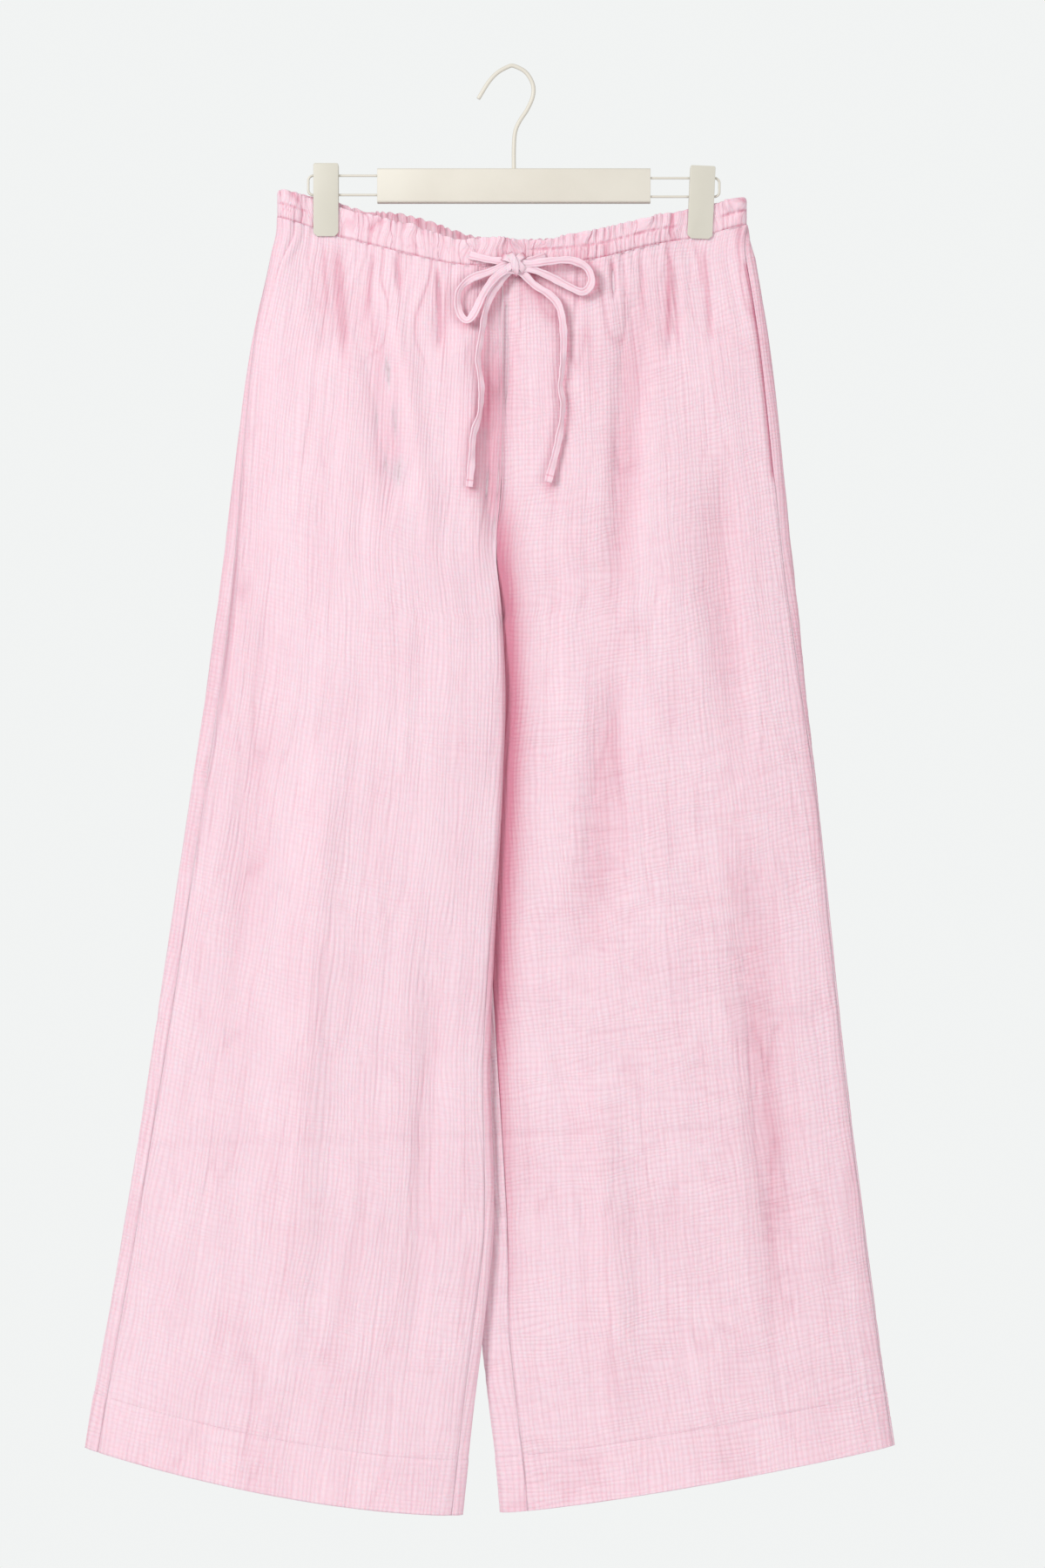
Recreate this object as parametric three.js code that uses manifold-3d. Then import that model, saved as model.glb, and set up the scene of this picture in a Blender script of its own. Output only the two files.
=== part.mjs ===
// Gauze trousers hanging from a clip hanger, in millimetres, +Z up.
// The front faces -Y. Left and right are the wearer's, so the right leg is on -X.
// The origin is the underside of the crown of the hanger's hook.
import * as THREE from "three";
import { mergeVertices } from "three/addons/utils/BufferGeometryUtils.js";
import Module from "manifold-3d";

const wasm = await Module();
wasm.setup();

const gauze = new THREE.Color(0xf2cfdb);
const paint = new THREE.Color(0xdedacb);
const group = new THREE.Group();

// Small helpers

function clamp01(value) {
  return Math.min(1, Math.max(0, value));
}

function smooth(from, to, value) {
  const t = clamp01((value - from) / (to - from));
  return t * t * (3 - 2 * t);
}

function mix(a, b, t) {
  return a + (b - a) * t;
}

// A named column of a table read at any height: a smooth curve through its rows
function column(rows, key, name, at) {
  const way = Math.sign(rows[1][key] - rows[0][key]);
  let i = 0;
  while (i < rows.length - 2 && (at - rows[i + 1][key]) * way > 0) i += 1;
  const slope = (j) => {
    const a = rows[Math.max(0, j - 1)];
    const b = rows[Math.min(rows.length - 1, j + 1)];
    return (b[name] - a[name]) / (b[key] - a[key]);
  };
  const span = rows[i + 1][key] - rows[i][key];
  const t = (at - rows[i][key]) / span;
  const bend = t * t * (3 - 2 * t);
  const start = t * (1 - t) * (1 - t) * span * slope(i);
  const end = t * t * (1 - t) * span * slope(i + 1);
  return mix(rows[i][name], rows[i + 1][name], bend) + start - end;
}

function addMesh(name, geometry, color, roughness, metalness) {
  const material = new THREE.MeshStandardMaterial({ color, roughness, metalness });
  const mesh = new THREE.Mesh(geometry, material);
  mesh.name = name;
  group.add(mesh);
  return mesh;
}

function addCloth(name, geometry) {
  return addMesh(name, geometry, gauze, 0.95, 0);
}

function addMetal(name, geometry) {
  return addMesh(name, geometry, paint, 0.45, 0.3);
}

// Cloth thicknesses and the space between sewn pieces
const WALL = 1.6;
const HEM_WALL = 2.4;
const HEM_DEPTH = 46;
const HEM_STEP = 10;
const BAND_WALL = 2.4;
const SEAM_GAP = 0.3;

// The waist: where its lower seam ends at the sides, and how far it sags between the clips
const WAIST = { right: -194, left: 191, seam: -126, tilt: -3, sag: 36.5, backLift: 4 };
const WAIST_DEPTH = { atClips: 1.8, bulge: 12, bulgeEnds: 138, flare: 2.8, flareEnds: 184, endPower: 60 };
const BAND = { height: 24, casing: 12, wavesRight: 28, wavesLeft: 30 };
const CLIP = { centre: 154, hold: 13 };
const CENTRE_SEAM = -9;

// The gathers at the top of the legs, and what is left of them under the clips
const GATHER = { stand: 1.6, held: 0.6, fade: 0.07 };

// The legs: outline of the cloth as it hangs, from the waist down to the hems
const LEVELS = [
  { z: -120, rightOuter: -194, rightInner: -9, leftInner: -9, leftOuter: 191 },
  { z: -160, rightOuter: -201, rightInner: -9, leftInner: -9, leftOuter: 199.5 },
  { z: -230, rightOuter: -215.7, rightInner: -9, leftInner: -9, leftOuter: 210.7 },
  { z: -373, rightOuter: -235, rightInner: -9, leftInner: -9, leftOuter: 225.7 },
  { z: -450, rightOuter: -244.6, rightInner: -9, leftInner: -9, leftOuter: 234 },
  { z: -516, rightOuter: -253, rightInner: -7, leftInner: -16, leftOuter: 240.7 },
  { z: -587, rightOuter: -263.6, rightInner: -9, leftInner: -24, leftOuter: 248.6 },
  { z: -801, rightOuter: -295.7, rightInner: -20, leftInner: -24, leftOuter: 270 },
  { z: -950, rightOuter: -320.5, rightInner: -17, leftInner: -22, leftOuter: 288 },
  { z: -1029, rightOuter: -334.2, rightInner: -25, leftInner: -22.5, leftOuter: 298.2 },
  { z: -1087, rightOuter: -344.5, rightInner: -32, leftInner: -17.5, leftOuter: 306 },
  { z: -1150, rightOuter: -354.7, rightInner: -39, leftInner: -10, leftOuter: 315.6 },
  { z: -1190, rightOuter: -361, rightInner: -43.5, leftInner: -7, leftOuter: 322 },
];

// Half of each leg's depth, front to back, between its middle and its folded edges
const DEPTHS = [
  { down: 0, middle: 13, edge: 6 },
  { down: 0.2, middle: 17, edge: 7 },
  { down: 0.5, middle: 15, edge: 7 },
  { down: 0.8, middle: 15, edge: 7 },
  { down: 1, middle: 18, edge: 8 },
];

const LEGS = {
  right: {
    outer: "rightOuter", inner: "rightInner", waist: WAIST.right, side: -1,
    hem: { outer: -1131, inner: -1185, bend: 1.6 }, forward: 8,
    sideInset: { top: 0, low: 11, from: 0.02, to: 0.35 }, innerInset: 8,
    waves: BAND.wavesRight,
  },
  left: {
    outer: "leftOuter", inner: "leftInner", waist: WAIST.left, side: 1,
    hem: { outer: -1129, inner: -1185, bend: 1.15 }, forward: -8,
    sideInset: { top: 0, low: 8, from: 0, to: 0.03 }, innerInset: 22,
    waves: BAND.wavesLeft,
  },
};

// The inseam side of a leg from waist seam to hem, the crotch as a share of that way from the
// top, the height over which the crotch seam rounds, and the roundness of the folded edges
const LENGTH = 1023;
const CROTCH = 0.2815;
const CROTCH_ROUND = 60;
const EDGE_POWER = 16;

// The largest folds, as troughs (depth below zero) or ridges, by face of the garment.
// Each runs from its top to its foot through a bend, and fades out at both ends.
const FOLDS = [
  { face: "front", leg: "both", x0: -161, z0: -137, xm: -155, zm: -195, x1: -150, z1: -251, width: 9, depth: -4 },
  { face: "front", leg: "both", x0: -132, z0: -159, xm: -109, zm: -250, x1: -90, z1: -400, width: 13, depth: -7 },
  { face: "front", leg: "both", x0: -110, z0: -160, xm: -85, zm: -280, x1: -66, z1: -430, width: 12, depth: 4 },
  { face: "front", leg: "both", x0: -61, z0: -166, xm: -60, zm: -200, x1: -58, z1: -245, width: 8, depth: -4 },
  { face: "front", leg: "both", x0: -9, z0: -173, xm: -6, zm: -270, x1: -2, z1: -372, width: 10, depth: -5 },
  { face: "front", leg: "both", x0: 104, z0: -159, xm: 92, zm: -300, x1: 82, z1: -480, width: 13, depth: -6 },
  { face: "front", leg: "both", x0: 125, z0: -160, xm: 127, zm: -200, x1: 125, z1: -244, width: 8, depth: -4 },
  { face: "front", leg: "both", x0: 171, z0: -300, xm: 168, zm: -440, x1: 186, z1: -590, width: 16, depth: -4 },
  { face: "front", leg: "left", x0: 82, z0: -480, xm: 71, zm: -620, x1: 62, z1: -760, width: 15, depth: -5 },
  { face: "front", leg: "left", x0: 190, z0: -620, xm: 205, zm: -820, x1: 226, z1: -1060, width: 18, depth: -5 },
  { face: "front", leg: "left", x0: 60, z0: -800, xm: 75, zm: -960, x1: 88, z1: -1130, width: 16, depth: 5 },
  { face: "front", leg: "right", x0: -66, z0: -760, xm: -70, zm: -900, x1: -82, z1: -1060, width: 17, depth: -6 },
  { face: "front", leg: "right", x0: -205, z0: -380, xm: -215, zm: -600, x1: -232, z1: -860, width: 16, depth: -4 },
  { face: "front", leg: "right", x0: -150, z0: -520, xm: -168, zm: -760, x1: -190, z1: -1080, width: 18, depth: 5 },
  { face: "back", leg: "both", x0: 139, z0: -150, xm: 120, zm: -250, x1: 104, z1: -400, width: 13, depth: -6 },
  { face: "back", leg: "both", x0: 60, z0: -163, xm: 64, zm: -230, x1: 62, z1: -300, width: 10, depth: -5 },
  { face: "back", leg: "both", x0: -9, z0: -168, xm: -9, zm: -270, x1: -9, z1: -380, width: 11, depth: -5 },
  { face: "back", leg: "both", x0: -75, z0: -163, xm: -80, zm: -270, x1: -92, z1: -420, width: 13, depth: -6 },
  { face: "back", leg: "both", x0: -146, z0: -150, xm: -150, zm: -210, x1: -160, z1: -290, width: 10, depth: -4 },
  { face: "back", leg: "right", x0: -120, z0: -480, xm: -150, zm: -760, x1: -178, z1: -1100, width: 17, depth: -6 },
  { face: "back", leg: "right", x0: -220, z0: -560, xm: -245, zm: -800, x1: -280, z1: -1080, width: 17, depth: 5 },
  { face: "back", leg: "left", x0: 110, z0: -470, xm: 118, zm: -740, x1: 140, z1: -1090, width: 17, depth: -6 },
  { face: "back", leg: "left", x0: 210, z0: -520, xm: 220, zm: -780, x1: 250, z1: -1060, width: 16, depth: 5 },
];

// The cloth surface: every panel, the casing and what lies on them are read from it.
// q goes once round a leg: 0 at its outer edge, 0 to 1 over the front, 1 to 2 over the back.

// How far from the middle plane the front or the back stands at the waist
function waistDepth(x) {
  const end = x < 0 ? WAIST.right : WAIST.left;
  const t = Math.abs(x / end);
  const out = Math.abs(x);
  const bulge = WAIST_DEPTH.bulge * (1 - Math.min(1, out / WAIST_DEPTH.bulgeEnds) ** 2);
  const flare = WAIST_DEPTH.flare * smooth(CLIP.centre + CLIP.hold, WAIST_DEPTH.flareEnds, out);
  const closed = Math.sqrt(Math.max(0, 1 - t ** WAIST_DEPTH.endPower));
  return (WAIST_DEPTH.atClips + bulge + flare) * closed;
}

function waistSeam(x, back) {
  const end = x < 0 ? WAIST.right : WAIST.left;
  const t = clamp01(Math.abs(x / end));
  const tilt = WAIST.tilt * (x / WAIST.left);
  const lift = back * WAIST.backLift * (1 - t * t);
  return WAIST.seam + tilt - WAIST.sag * (1 - t * t) ** 1.2 + lift;
}

// 1 where a clip holds the cloth flat, 0 well away from it
function held(x) {
  return 1 - smooth(CLIP.hold, CLIP.hold + 9, Math.abs(Math.abs(x) - CLIP.centre));
}

// The gathers, as waves that only stand out from the cloth
function gather(x, waves, amplitude) {
  const start = x < CENTRE_SEAM ? WAIST.right : CENTRE_SEAM;
  const end = x < CENTRE_SEAM ? CENTRE_SEAM : WAIST.left;
  const turn = (x - start) / (end - start) * waves;
  const wave = 0.5 - 0.5 * Math.cos(2 * Math.PI * turn);
  const height = mix(amplitude, Math.min(amplitude, GATHER.held), held(x));
  return wave * height;
}

function foldHeight(x, z, face, legName) {
  let height = 0;
  for (const fold of FOLDS) {
    if (fold.face !== face) continue;
    if (fold.leg !== "both" && fold.leg !== legName) continue;
    const t = (fold.z0 - z) / (fold.z0 - fold.z1);
    if (t <= 0 || t >= 1) continue;
    const middle = (fold.z0 - fold.zm) / (fold.z0 - fold.z1);
    const path = t < middle
      ? mix(fold.x0, fold.xm, t / middle)
      : mix(fold.xm, fold.x1, (t - middle) / (1 - middle));
    const across = (x - path) / fold.width;
    const ends = smooth(0, 0.25, t) * (1 - smooth(0.6, 1, t));
    height += fold.depth * Math.exp(-across * across) * ends;
  }
  return height;
}

// The plain surface of one leg, before folds and gathers
function surface(legName, panelFace, q, v) {
  const leg = LEGS[legName];
  const s = (1 - Math.cos(Math.PI * q)) / 2;
  const isBack = q > 1 && q < 2 || q === 1 && panelFace === "back";
  const face = isBack ? 1 : -1;
  const waistX = mix(leg.waist, CENTRE_SEAM, s);
  const lift = (isBack ? 1 : 0) * clamp01(1 - v / CROTCH);
  const hemZ = mix(leg.hem.outer, leg.hem.inner, 1 - (1 - s) ** leg.hem.bend);
  const z = mix(waistSeam(waistX, lift), hemZ, v);

  const above = Math.max(0, CROTCH - v) * LENGTH;
  const open = above < CROTCH_ROUND ? Math.sqrt(1 - (1 - above / CROTCH_ROUND) ** 2) : 1;
  const margin = SEAM_GAP / 2 + 1.1 * (1 - open) ** 4;
  const outerX = column(LEVELS, "z", leg.outer, z) - leg.side * WALL / 2;
  const innerX = column(LEVELS, "z", leg.inner, z) + leg.side * margin;
  const atWaist = 1 - smooth(0, 0.03, v);
  const x = mix(mix(outerX, innerX, s), mix(leg.waist, innerX, s), atWaist);

  const middle = column(DEPTHS, "down", "middle", v);
  const edge = column(DEPTHS, "down", "edge", v);
  const outerRound = Math.sqrt(Math.max(0, 1 - (1 - s) ** EDGE_POWER));
  const innerRound = Math.sqrt(Math.max(0, 1 - (1 - open * open) * s ** EDGE_POWER));
  const joined = smooth(0, CROTCH * 0.9, CROTCH - v);
  const bulge = mix(Math.sin(Math.PI * s), Math.sin(Math.PI * s / 2), joined);
  const hanging = edge * outerRound * innerRound + (middle - edge) * bulge;
  const nearWaist = 1 - smooth(0, 0.12, v);
  const depth = mix(hanging, waistDepth(waistX), nearWaist);
  const forward = leg.forward * s * s * smooth(CROTCH, CROTCH + 0.065, v);
  return new THREE.Vector3(x, face * depth - forward, z);
}

// Outward direction of the cloth at a point
function outward(legName, panelFace, q, v) {
  const step = 0.002;
  const open = v < CROTCH;
  const low = panelFace === "back" && open ? Math.max(1, q - step) : q - step;
  const high = panelFace === "front" && open ? Math.min(1, q + step) : q + step;
  const across = surface(legName, panelFace, high, v).sub(surface(legName, panelFace, low, v));
  const top = Math.max(0, v - step);
  const down = surface(legName, panelFace, q, v + step).sub(surface(legName, panelFace, q, top));
  const normal = down.cross(across).normalize();
  return normal.multiplyScalar(-LEGS[legName].side);
}

// A point of the cloth with its folds and gathers, moved out by a distance
function clothPoint(legName, panelFace, q, v, out) {
  const leg = LEGS[legName];
  const base = surface(legName, panelFace, q, v);
  const normal = outward(legName, panelFace, q, v);
  const s = (1 - Math.cos(Math.PI * q)) / 2;
  const isBack = q > 1 && q < 2 || q === 1 && panelFace === "back";
  const edges = smooth(0, 0.06, s) * (v < CROTCH ? 1 : smooth(0, 0.06, 1 - s));
  const nearCrotch = v < CROTCH ? smooth(0, 0.08, CROTCH - v + 0.6 * (1 - s)) : 1;
  const deepest = -0.5 * Math.max(0, Math.abs(base.y) - 3);
  const wanted = foldHeight(base.x, base.z, isBack ? "back" : "front", legName);
  const folds = Math.max(deepest, wanted);
  const fade = 1 - smooth(0, GATHER.fade, v);
  const waistX = mix(leg.waist, CENTRE_SEAM, s);
  const gathers = gather(waistX, leg.waves, GATHER.stand) * fade;
  const reach = smooth(0, 0.05, v);
  return base.addScaledVector(normal, folds * edges * nearCrotch * reach + gathers + out);
}

// Closed walls from rows of points

// Joins two rows of points that may differ in number, walking along both by their keys
function stitch(triangles, rowA, rowB, flip) {
  let i = 0;
  let j = 0;
  while (i < rowA.length - 1 || j < rowB.length - 1) {
    const nextA = i < rowA.length - 1 ? rowA[i + 1].key : Infinity;
    const nextB = j < rowB.length - 1 ? rowB[j + 1].key : Infinity;
    const a = rowA[i].point;
    const b = rowB[j].point;
    let c = null;
    if (nextA <= nextB) {
      i += 1;
      c = rowA[i].point;
    } else {
      j += 1;
      c = rowB[j].point;
    }
    if (flip) triangles.push(a, c, b);
    else triangles.push(a, b, c);
  }
}

function geometryOf(triangles) {
  let volume = 0;
  for (let i = 0; i < triangles.length; i += 3) {
    const cross = triangles[i + 1].clone().cross(triangles[i + 2]);
    volume += triangles[i].dot(cross);
  }
  const order = volume < 0 ? [0, 2, 1] : [0, 1, 2];
  const numbers = [];
  for (let i = 0; i < triangles.length; i += 3) {
    for (const k of order) numbers.push(...triangles[i + k].toArray());
  }
  const geometry = new THREE.BufferGeometry();
  geometry.setAttribute("position", new THREE.Float32BufferAttribute(numbers, 3));
  geometry.computeVertexNormals();
  return geometry;
}

// Rows hold { key, outer, inner } entries, from the top of the wall to its foot
function wall(rows) {
  const triangles = [];
  const skin = (row, name) => row.map((entry) => ({ key: entry.key, point: entry[name] }));
  for (let i = 0; i < rows.length - 1; i += 1) {
    stitch(triangles, skin(rows[i], "outer"), skin(rows[i + 1], "outer"), false);
    stitch(triangles, skin(rows[i], "inner"), skin(rows[i + 1], "inner"), true);
    const firstA = rows[i][0];
    const firstB = rows[i + 1][0];
    const lastA = rows[i].at(-1);
    const lastB = rows[i + 1].at(-1);
    triangles.push(firstA.outer, firstA.inner, firstB.inner, firstA.outer, firstB.inner, firstB.outer);
    triangles.push(lastA.outer, lastB.inner, lastA.inner, lastA.outer, lastB.outer, lastB.inner);
  }
  for (const [row, flip] of [[rows[0], true], [rows.at(-1), false]]) {
    stitch(triangles, skin(row, "outer"), skin(row, "inner"), flip);
  }
  return geometryOf(triangles);
}

// Legs

function inset(leg, q0, distance, v) {
  const width = Math.abs(column(LEVELS, "z", leg.outer, -150 - v * LENGTH)
    - column(LEVELS, "z", leg.inner, -150 - v * LENGTH));
  const angle = Math.acos(1 - 2 * distance / width) / Math.PI;
  return q0 === 0 ? angle : 1 - angle;
}

// Where the side seam and the inseam run on the front
function sideSeam(legName, v) {
  const leg = LEGS[legName];
  const way = smooth(leg.sideInset.from, leg.sideInset.to, v);
  return inset(leg, 0, mix(leg.sideInset.top, leg.sideInset.low, way), v);
}

function innerSeam(legName, v) {
  const leg = LEGS[legName];
  return inset(leg, 1, leg.innerInset * smooth(CROTCH + 0.01, 0.9, v), v);
}

// Half of the seam gap, as a step of q at that place
function seamStep(legName, panelFace, q, v) {
  const step = 0.002;
  const inside = panelFace === "front" ? -step : step;
  const from = q < 0.5 ? 0 : inside;
  const a = surface(legName, panelFace, q + from, v);
  const b = surface(legName, panelFace, q + from + step, v);
  return SEAM_GAP / 2 / a.distanceTo(b) * step;
}

// Rows of a leg panel in millimetres above and below the crotch, and how fine each is
const ROWS_ABOVE = [288, 276, 255, 215, 165, 115, 72, 38, 15, 4];
const ROWS_BELOW = [0, 14, 34, 62, 110, 200, 320, 440, 560, 679, 689, 735];
const FINE_ABOVE = 250;
const COLUMNS = 20;

function panelRow(legName, panelFace, millimetres) {
  const leg = LEGS[legName];
  const v = clamp01(CROTCH - millimetres / LENGTH);
  const fine = millimetres > FINE_ABOVE;
  const count = fine ? leg.waves * 2 : COLUMNS;
  const sideQ = sideSeam(legName, v);
  const innerQ = v < CROTCH ? 1 : innerSeam(legName, v);
  const closing = v < CROTCH ? 0 : seamStep(legName, "front", innerQ, v);
  const sideStep = seamStep(legName, "front", sideQ, v);
  const from = panelFace === "front" ? sideQ + sideStep : innerQ + closing;
  const to = panelFace === "front" ? innerQ - closing : 2 + sideQ - sideStep;
  const hemV = 1 - HEM_DEPTH / LENGTH;
  const hem = smooth(hemV - HEM_STEP / LENGTH, hemV, v);
  const thickness = mix(WALL, HEM_WALL, hem);
  const row = [];
  for (let i = 0; i <= count; i += 1) {
    const t = i / count;
    const even = Math.acos(1 - 2 * t) / Math.PI;
    const spread = panelFace === "front" ? even : 1 + even;
    const q = fine ? Math.min(to, Math.max(from, spread)) : mix(from, to, t);
    const outer = clothPoint(legName, panelFace, q, v, WALL / 2);
    const inner = clothPoint(legName, panelFace, q, v, WALL / 2 - thickness);
    row.push({ key: q, outer, inner });
  }
  return row;
}

function addLeg(name, legName, panelFace) {
  const rows = [];
  for (const up of ROWS_ABOVE) rows.push(panelRow(legName, panelFace, up));
  for (const down of ROWS_BELOW) rows.push(panelRow(legName, panelFace, -down));
  addCloth(name, wall(rows));
}

addLeg("front_right_leg", "right", "front");
addLeg("front_left_leg", "left", "front");
addLeg("back_right_leg", "right", "back");
addLeg("back_left_leg", "left", "back");

// Waistband: an elastic casing with a gathered heading above it.
// Each row gives its height above the waist seam, its waves and how far it stands out.
const BAND_ROWS = [
  { up: SEAM_GAP, wave: GATHER.stand, out: 0 },
  { up: BAND.casing / 2, wave: 1.4, out: 1 },
  { up: BAND.casing, wave: 1.2, out: 0 },
  { up: BAND.height, wave: 3, out: 2 },
];

function bandPoint(x, back, row, out) {
  const face = back ? 1 : -1;
  const waves = x < CENTRE_SEAM ? BAND.wavesRight : BAND.wavesLeft;
  const free = 1 - held(x);
  const end = x < 0 ? WAIST.right : WAIST.left;
  const t = Math.abs(x / end);
  const stand = gather(x, waves, row.wave) + row.out * free;
  const z = waistSeam(x, back) + row.up;
  const step = 0.4;
  const ahead = waistDepth(Math.min(WAIST.left, x + step));
  const behind = waistDepth(Math.max(WAIST.right, x - step));
  const slope = face * (ahead - behind) / (2 * step);
  const normal = new THREE.Vector3(-slope * face, face, 0).normalize();
  if (t > 0.9995) normal.set(Math.sign(x), 0, 0);
  const gap = face * SEAM_GAP / 2;
  const base = new THREE.Vector3(x, face * waistDepth(x) + gap, z);
  return base.addScaledVector(normal, stand * smooth(0, 0.04, 1 - t) + out);
}

function addBand(name, back) {
  const rows = BAND_ROWS.map((row) => {
    const entries = [];
    const countRight = BAND.wavesRight * 2;
    const count = countRight + BAND.wavesLeft * 2;
    for (let i = 0; i <= count; i += 1) {
      const x = i < countRight
        ? mix(WAIST.right, CENTRE_SEAM, i / countRight)
        : mix(CENTRE_SEAM, WAIST.left, (i - countRight) / (count - countRight));
      const outer = bandPoint(x, back, row, BAND_WALL / 2);
      const inner = bandPoint(x, back, row, -BAND_WALL / 2);
      entries.push({ key: i, outer, inner });
    }
    return entries;
  });
  addCloth(name, wall(rows));
}

addBand("waistband_front", 0);
addBand("waistband_back", 1);

// Pockets: flat bags that hang inside the side seams, made from the front panels' points

const POCKET = { top: 0.045, foot: 0.24, reach: 0.62, wall: 1.4, seam: 0.08, inside: 0.3 };
const POCKET_STEPS = 8;

function addPocket(name, legName) {
  const rows = [];
  for (let i = 0; i <= POCKET_STEPS; i += 1) {
    const down = i / POCKET_STEPS;
    const v = mix(POCKET.top, POCKET.foot, down);
    const start = sideSeam(legName, v) + POCKET.seam;
    const round = Math.sqrt(1 - (2 * Math.max(0.5, Math.min(0.97, down)) - 1) ** 2);
    const reach = POCKET.reach * mix(0.75, 1, smooth(0, 0.5, down)) * round;
    const row = [];
    for (let j = 0; j <= POCKET_STEPS; j += 1) {
      const across = j / POCKET_STEPS;
      const q = mix(start, Math.max(start + 0.1, reach), across);
      const sewn = clothPoint(legName, "front", q, v, -WALL / 2 - SEAM_GAP - POCKET.wall / 2);
      const loose = surface(legName, "front", q, v);
      loose.y *= POCKET.inside;
      const point = sewn.lerp(loose, smooth(0, 0.3, across));
      const outer = point.clone().add(new THREE.Vector3(0, -POCKET.wall / 2, 0));
      const inner = point.clone().add(new THREE.Vector3(0, POCKET.wall / 2, 0));
      row.push({ key: j, outer, inner });
    }
    rows.push(row);
  }
  addCloth(name, wall(rows));
}

addPocket("pocket_left", "left");
addPocket("pocket_right", "right");

// Strips and wires: a section swept along a route, kept facing one way

function routeOf(points, step) {
  const curve = new THREE.CatmullRomCurve3(points.map((p) => new THREE.Vector3(...p)), false, "centripetal");
  const count = Math.max(2, Math.round(curve.getLength() / step));
  return curve.getSpacedPoints(count);
}

// The section is a list of [sideways, outwards] places, scaled along the route
function swept(route, section, facing, scales) {
  const rings = route.map((point, i) => {
    const before = route[Math.max(0, i - 1)];
    const after = route[Math.min(route.length - 1, i + 1)];
    const along = after.clone().sub(before).normalize();
    const out = facing.clone().addScaledVector(along, -facing.dot(along)).normalize();
    const sideways = along.clone().cross(out);
    const scale = scales ? scales[i] : 1;
    return section.map(([a, b]) => point.clone()
      .addScaledVector(sideways, a * scale)
      .addScaledVector(out, b * scale));
  });
  const triangles = [];
  const count = section.length;
  for (let i = 0; i < rings.length - 1; i += 1) {
    for (let j = 0; j < count; j += 1) {
      const k = (j + 1) % count;
      triangles.push(rings[i][j], rings[i][k], rings[i + 1][k]);
      triangles.push(rings[i][j], rings[i + 1][k], rings[i + 1][j]);
    }
  }
  for (let j = 1; j < count - 1; j += 1) {
    triangles.push(rings[0][0], rings[0][j + 1], rings[0][j]);
    triangles.push(rings.at(-1)[0], rings.at(-1)[j], rings.at(-1)[j + 1]);
  }
  return geometryOf(triangles);
}

function roundSection(radius, sides) {
  const section = [];
  for (let i = 0; i < sides; i += 1) {
    const angle = 2 * Math.PI * (i + 0.5) / sides;
    section.push([radius * Math.cos(angle), radius * Math.sin(angle)]);
  }
  return section;
}

// Drawstring: a flat tie that comes out of two slits in the casing and is tied in a bow

const TIE = { width: 6.2, thickness: 1.2, step: 9 };
const KNOT = { x: 1.5, y: -22.6, z: -163, halfWidth: 11, halfDepth: 3.8, halfHeight: 7.5 };

// Each route is x, y, z in millimetres, from the slit or the knot outwards
const TIE_ROUTES = {
  tie_lead_right: [[-36, -17.5, -155.5], [-27, -19.4, -158], [-18, -20.6, -160], [-9.9, -21.8, -161]],
  tie_lead_left: [[26, -17.6, -156.5], [20, -19.4, -158.4], [12.2, -21.8, -160.8]],
  tie_loop_right: [
    [-9.4, -23.6, -165.6], [-20, -23, -170], [-34.3, -22, -175], [-43.6, -21, -183], [-46, -20.6, -193],
    [-43.6, -21.2, -204.3], [-37.9, -22.4, -209.3], [-32, -23.6, -203], [-25, -25.2, -188.6],
    [-17, -26, -177], [-7.6, -25.6, -169.6],
  ],
  tie_loop_left: [
    [11.6, -24.4, -167], [27.9, -23.6, -173], [46.4, -22, -182.5], [56, -21.2, -186], [62, -21, -181.5],
    [63.2, -21.6, -174], [58.6, -22.6, -165.7], [46.4, -24.2, -160.6], [28.9, -25.6, -161.5],
    [12.4, -25, -163.4],
  ],
  tie_end_right: [
    [-4.6, -23.2, -170.4], [-14.3, -22.4, -182], [-19, -21.8, -190], [-23.6, -21, -204], [-27.1, -21, -226],
    [-29.3, -21, -241], [-26.4, -21, -263], [-27.9, -21, -285], [-32.9, -21, -302], [-34.3, -21, -322],
    [-36.4, -21, -345],
  ],
  tie_end_left: [
    [7, -22.8, -171], [17, -21.8, -180.5], [28.6, -21.8, -188], [36, -21, -196], [39.3, -21, -207],
    [40.7, -21, -226], [39.3, -21, -251], [37.9, -21, -262], [40, -21, -277], [38.6, -21, -294],
    [35, -21, -313], [27.9, -21, -341],
  ],
};

function addDrawstring() {
  const half = TIE.width / 2;
  const thin = TIE.thickness / 2;
  const section = [[-half, -thin], [half, -thin], [half, thin], [-half, thin]];
  const towardsFront = new THREE.Vector3(0, -1, 0);
  for (const [name, points] of Object.entries(TIE_ROUTES)) {
    addCloth(name, swept(routeOf(points, TIE.step), section, towardsFront, null));
  }
  const knot = new THREE.SphereGeometry(1, 14, 8);
  knot.scale(KNOT.halfWidth, KNOT.halfDepth, KNOT.halfHeight);
  knot.deleteAttribute("uv");
  addCloth("tie_knot", knot).position.set(KNOT.x, KNOT.y, KNOT.z);
}

addDrawstring();

// Hanger: a sheet bar with a hook, and a wire loop at each end that carries a clip

const BAR = { left: 112, right: -112, top: -82.6, height: 28.4, front: -4.2, back: 3.2, sheet: 1.2, bend: 2 };
const HOOK = { wire: 1.7, hole: 2.1, head: 2.6, headHeight: 1.6, step: 5 };
const LOOP = { wire: 1, y: -1.7, inside: 82, outside: 169.5 };

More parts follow.
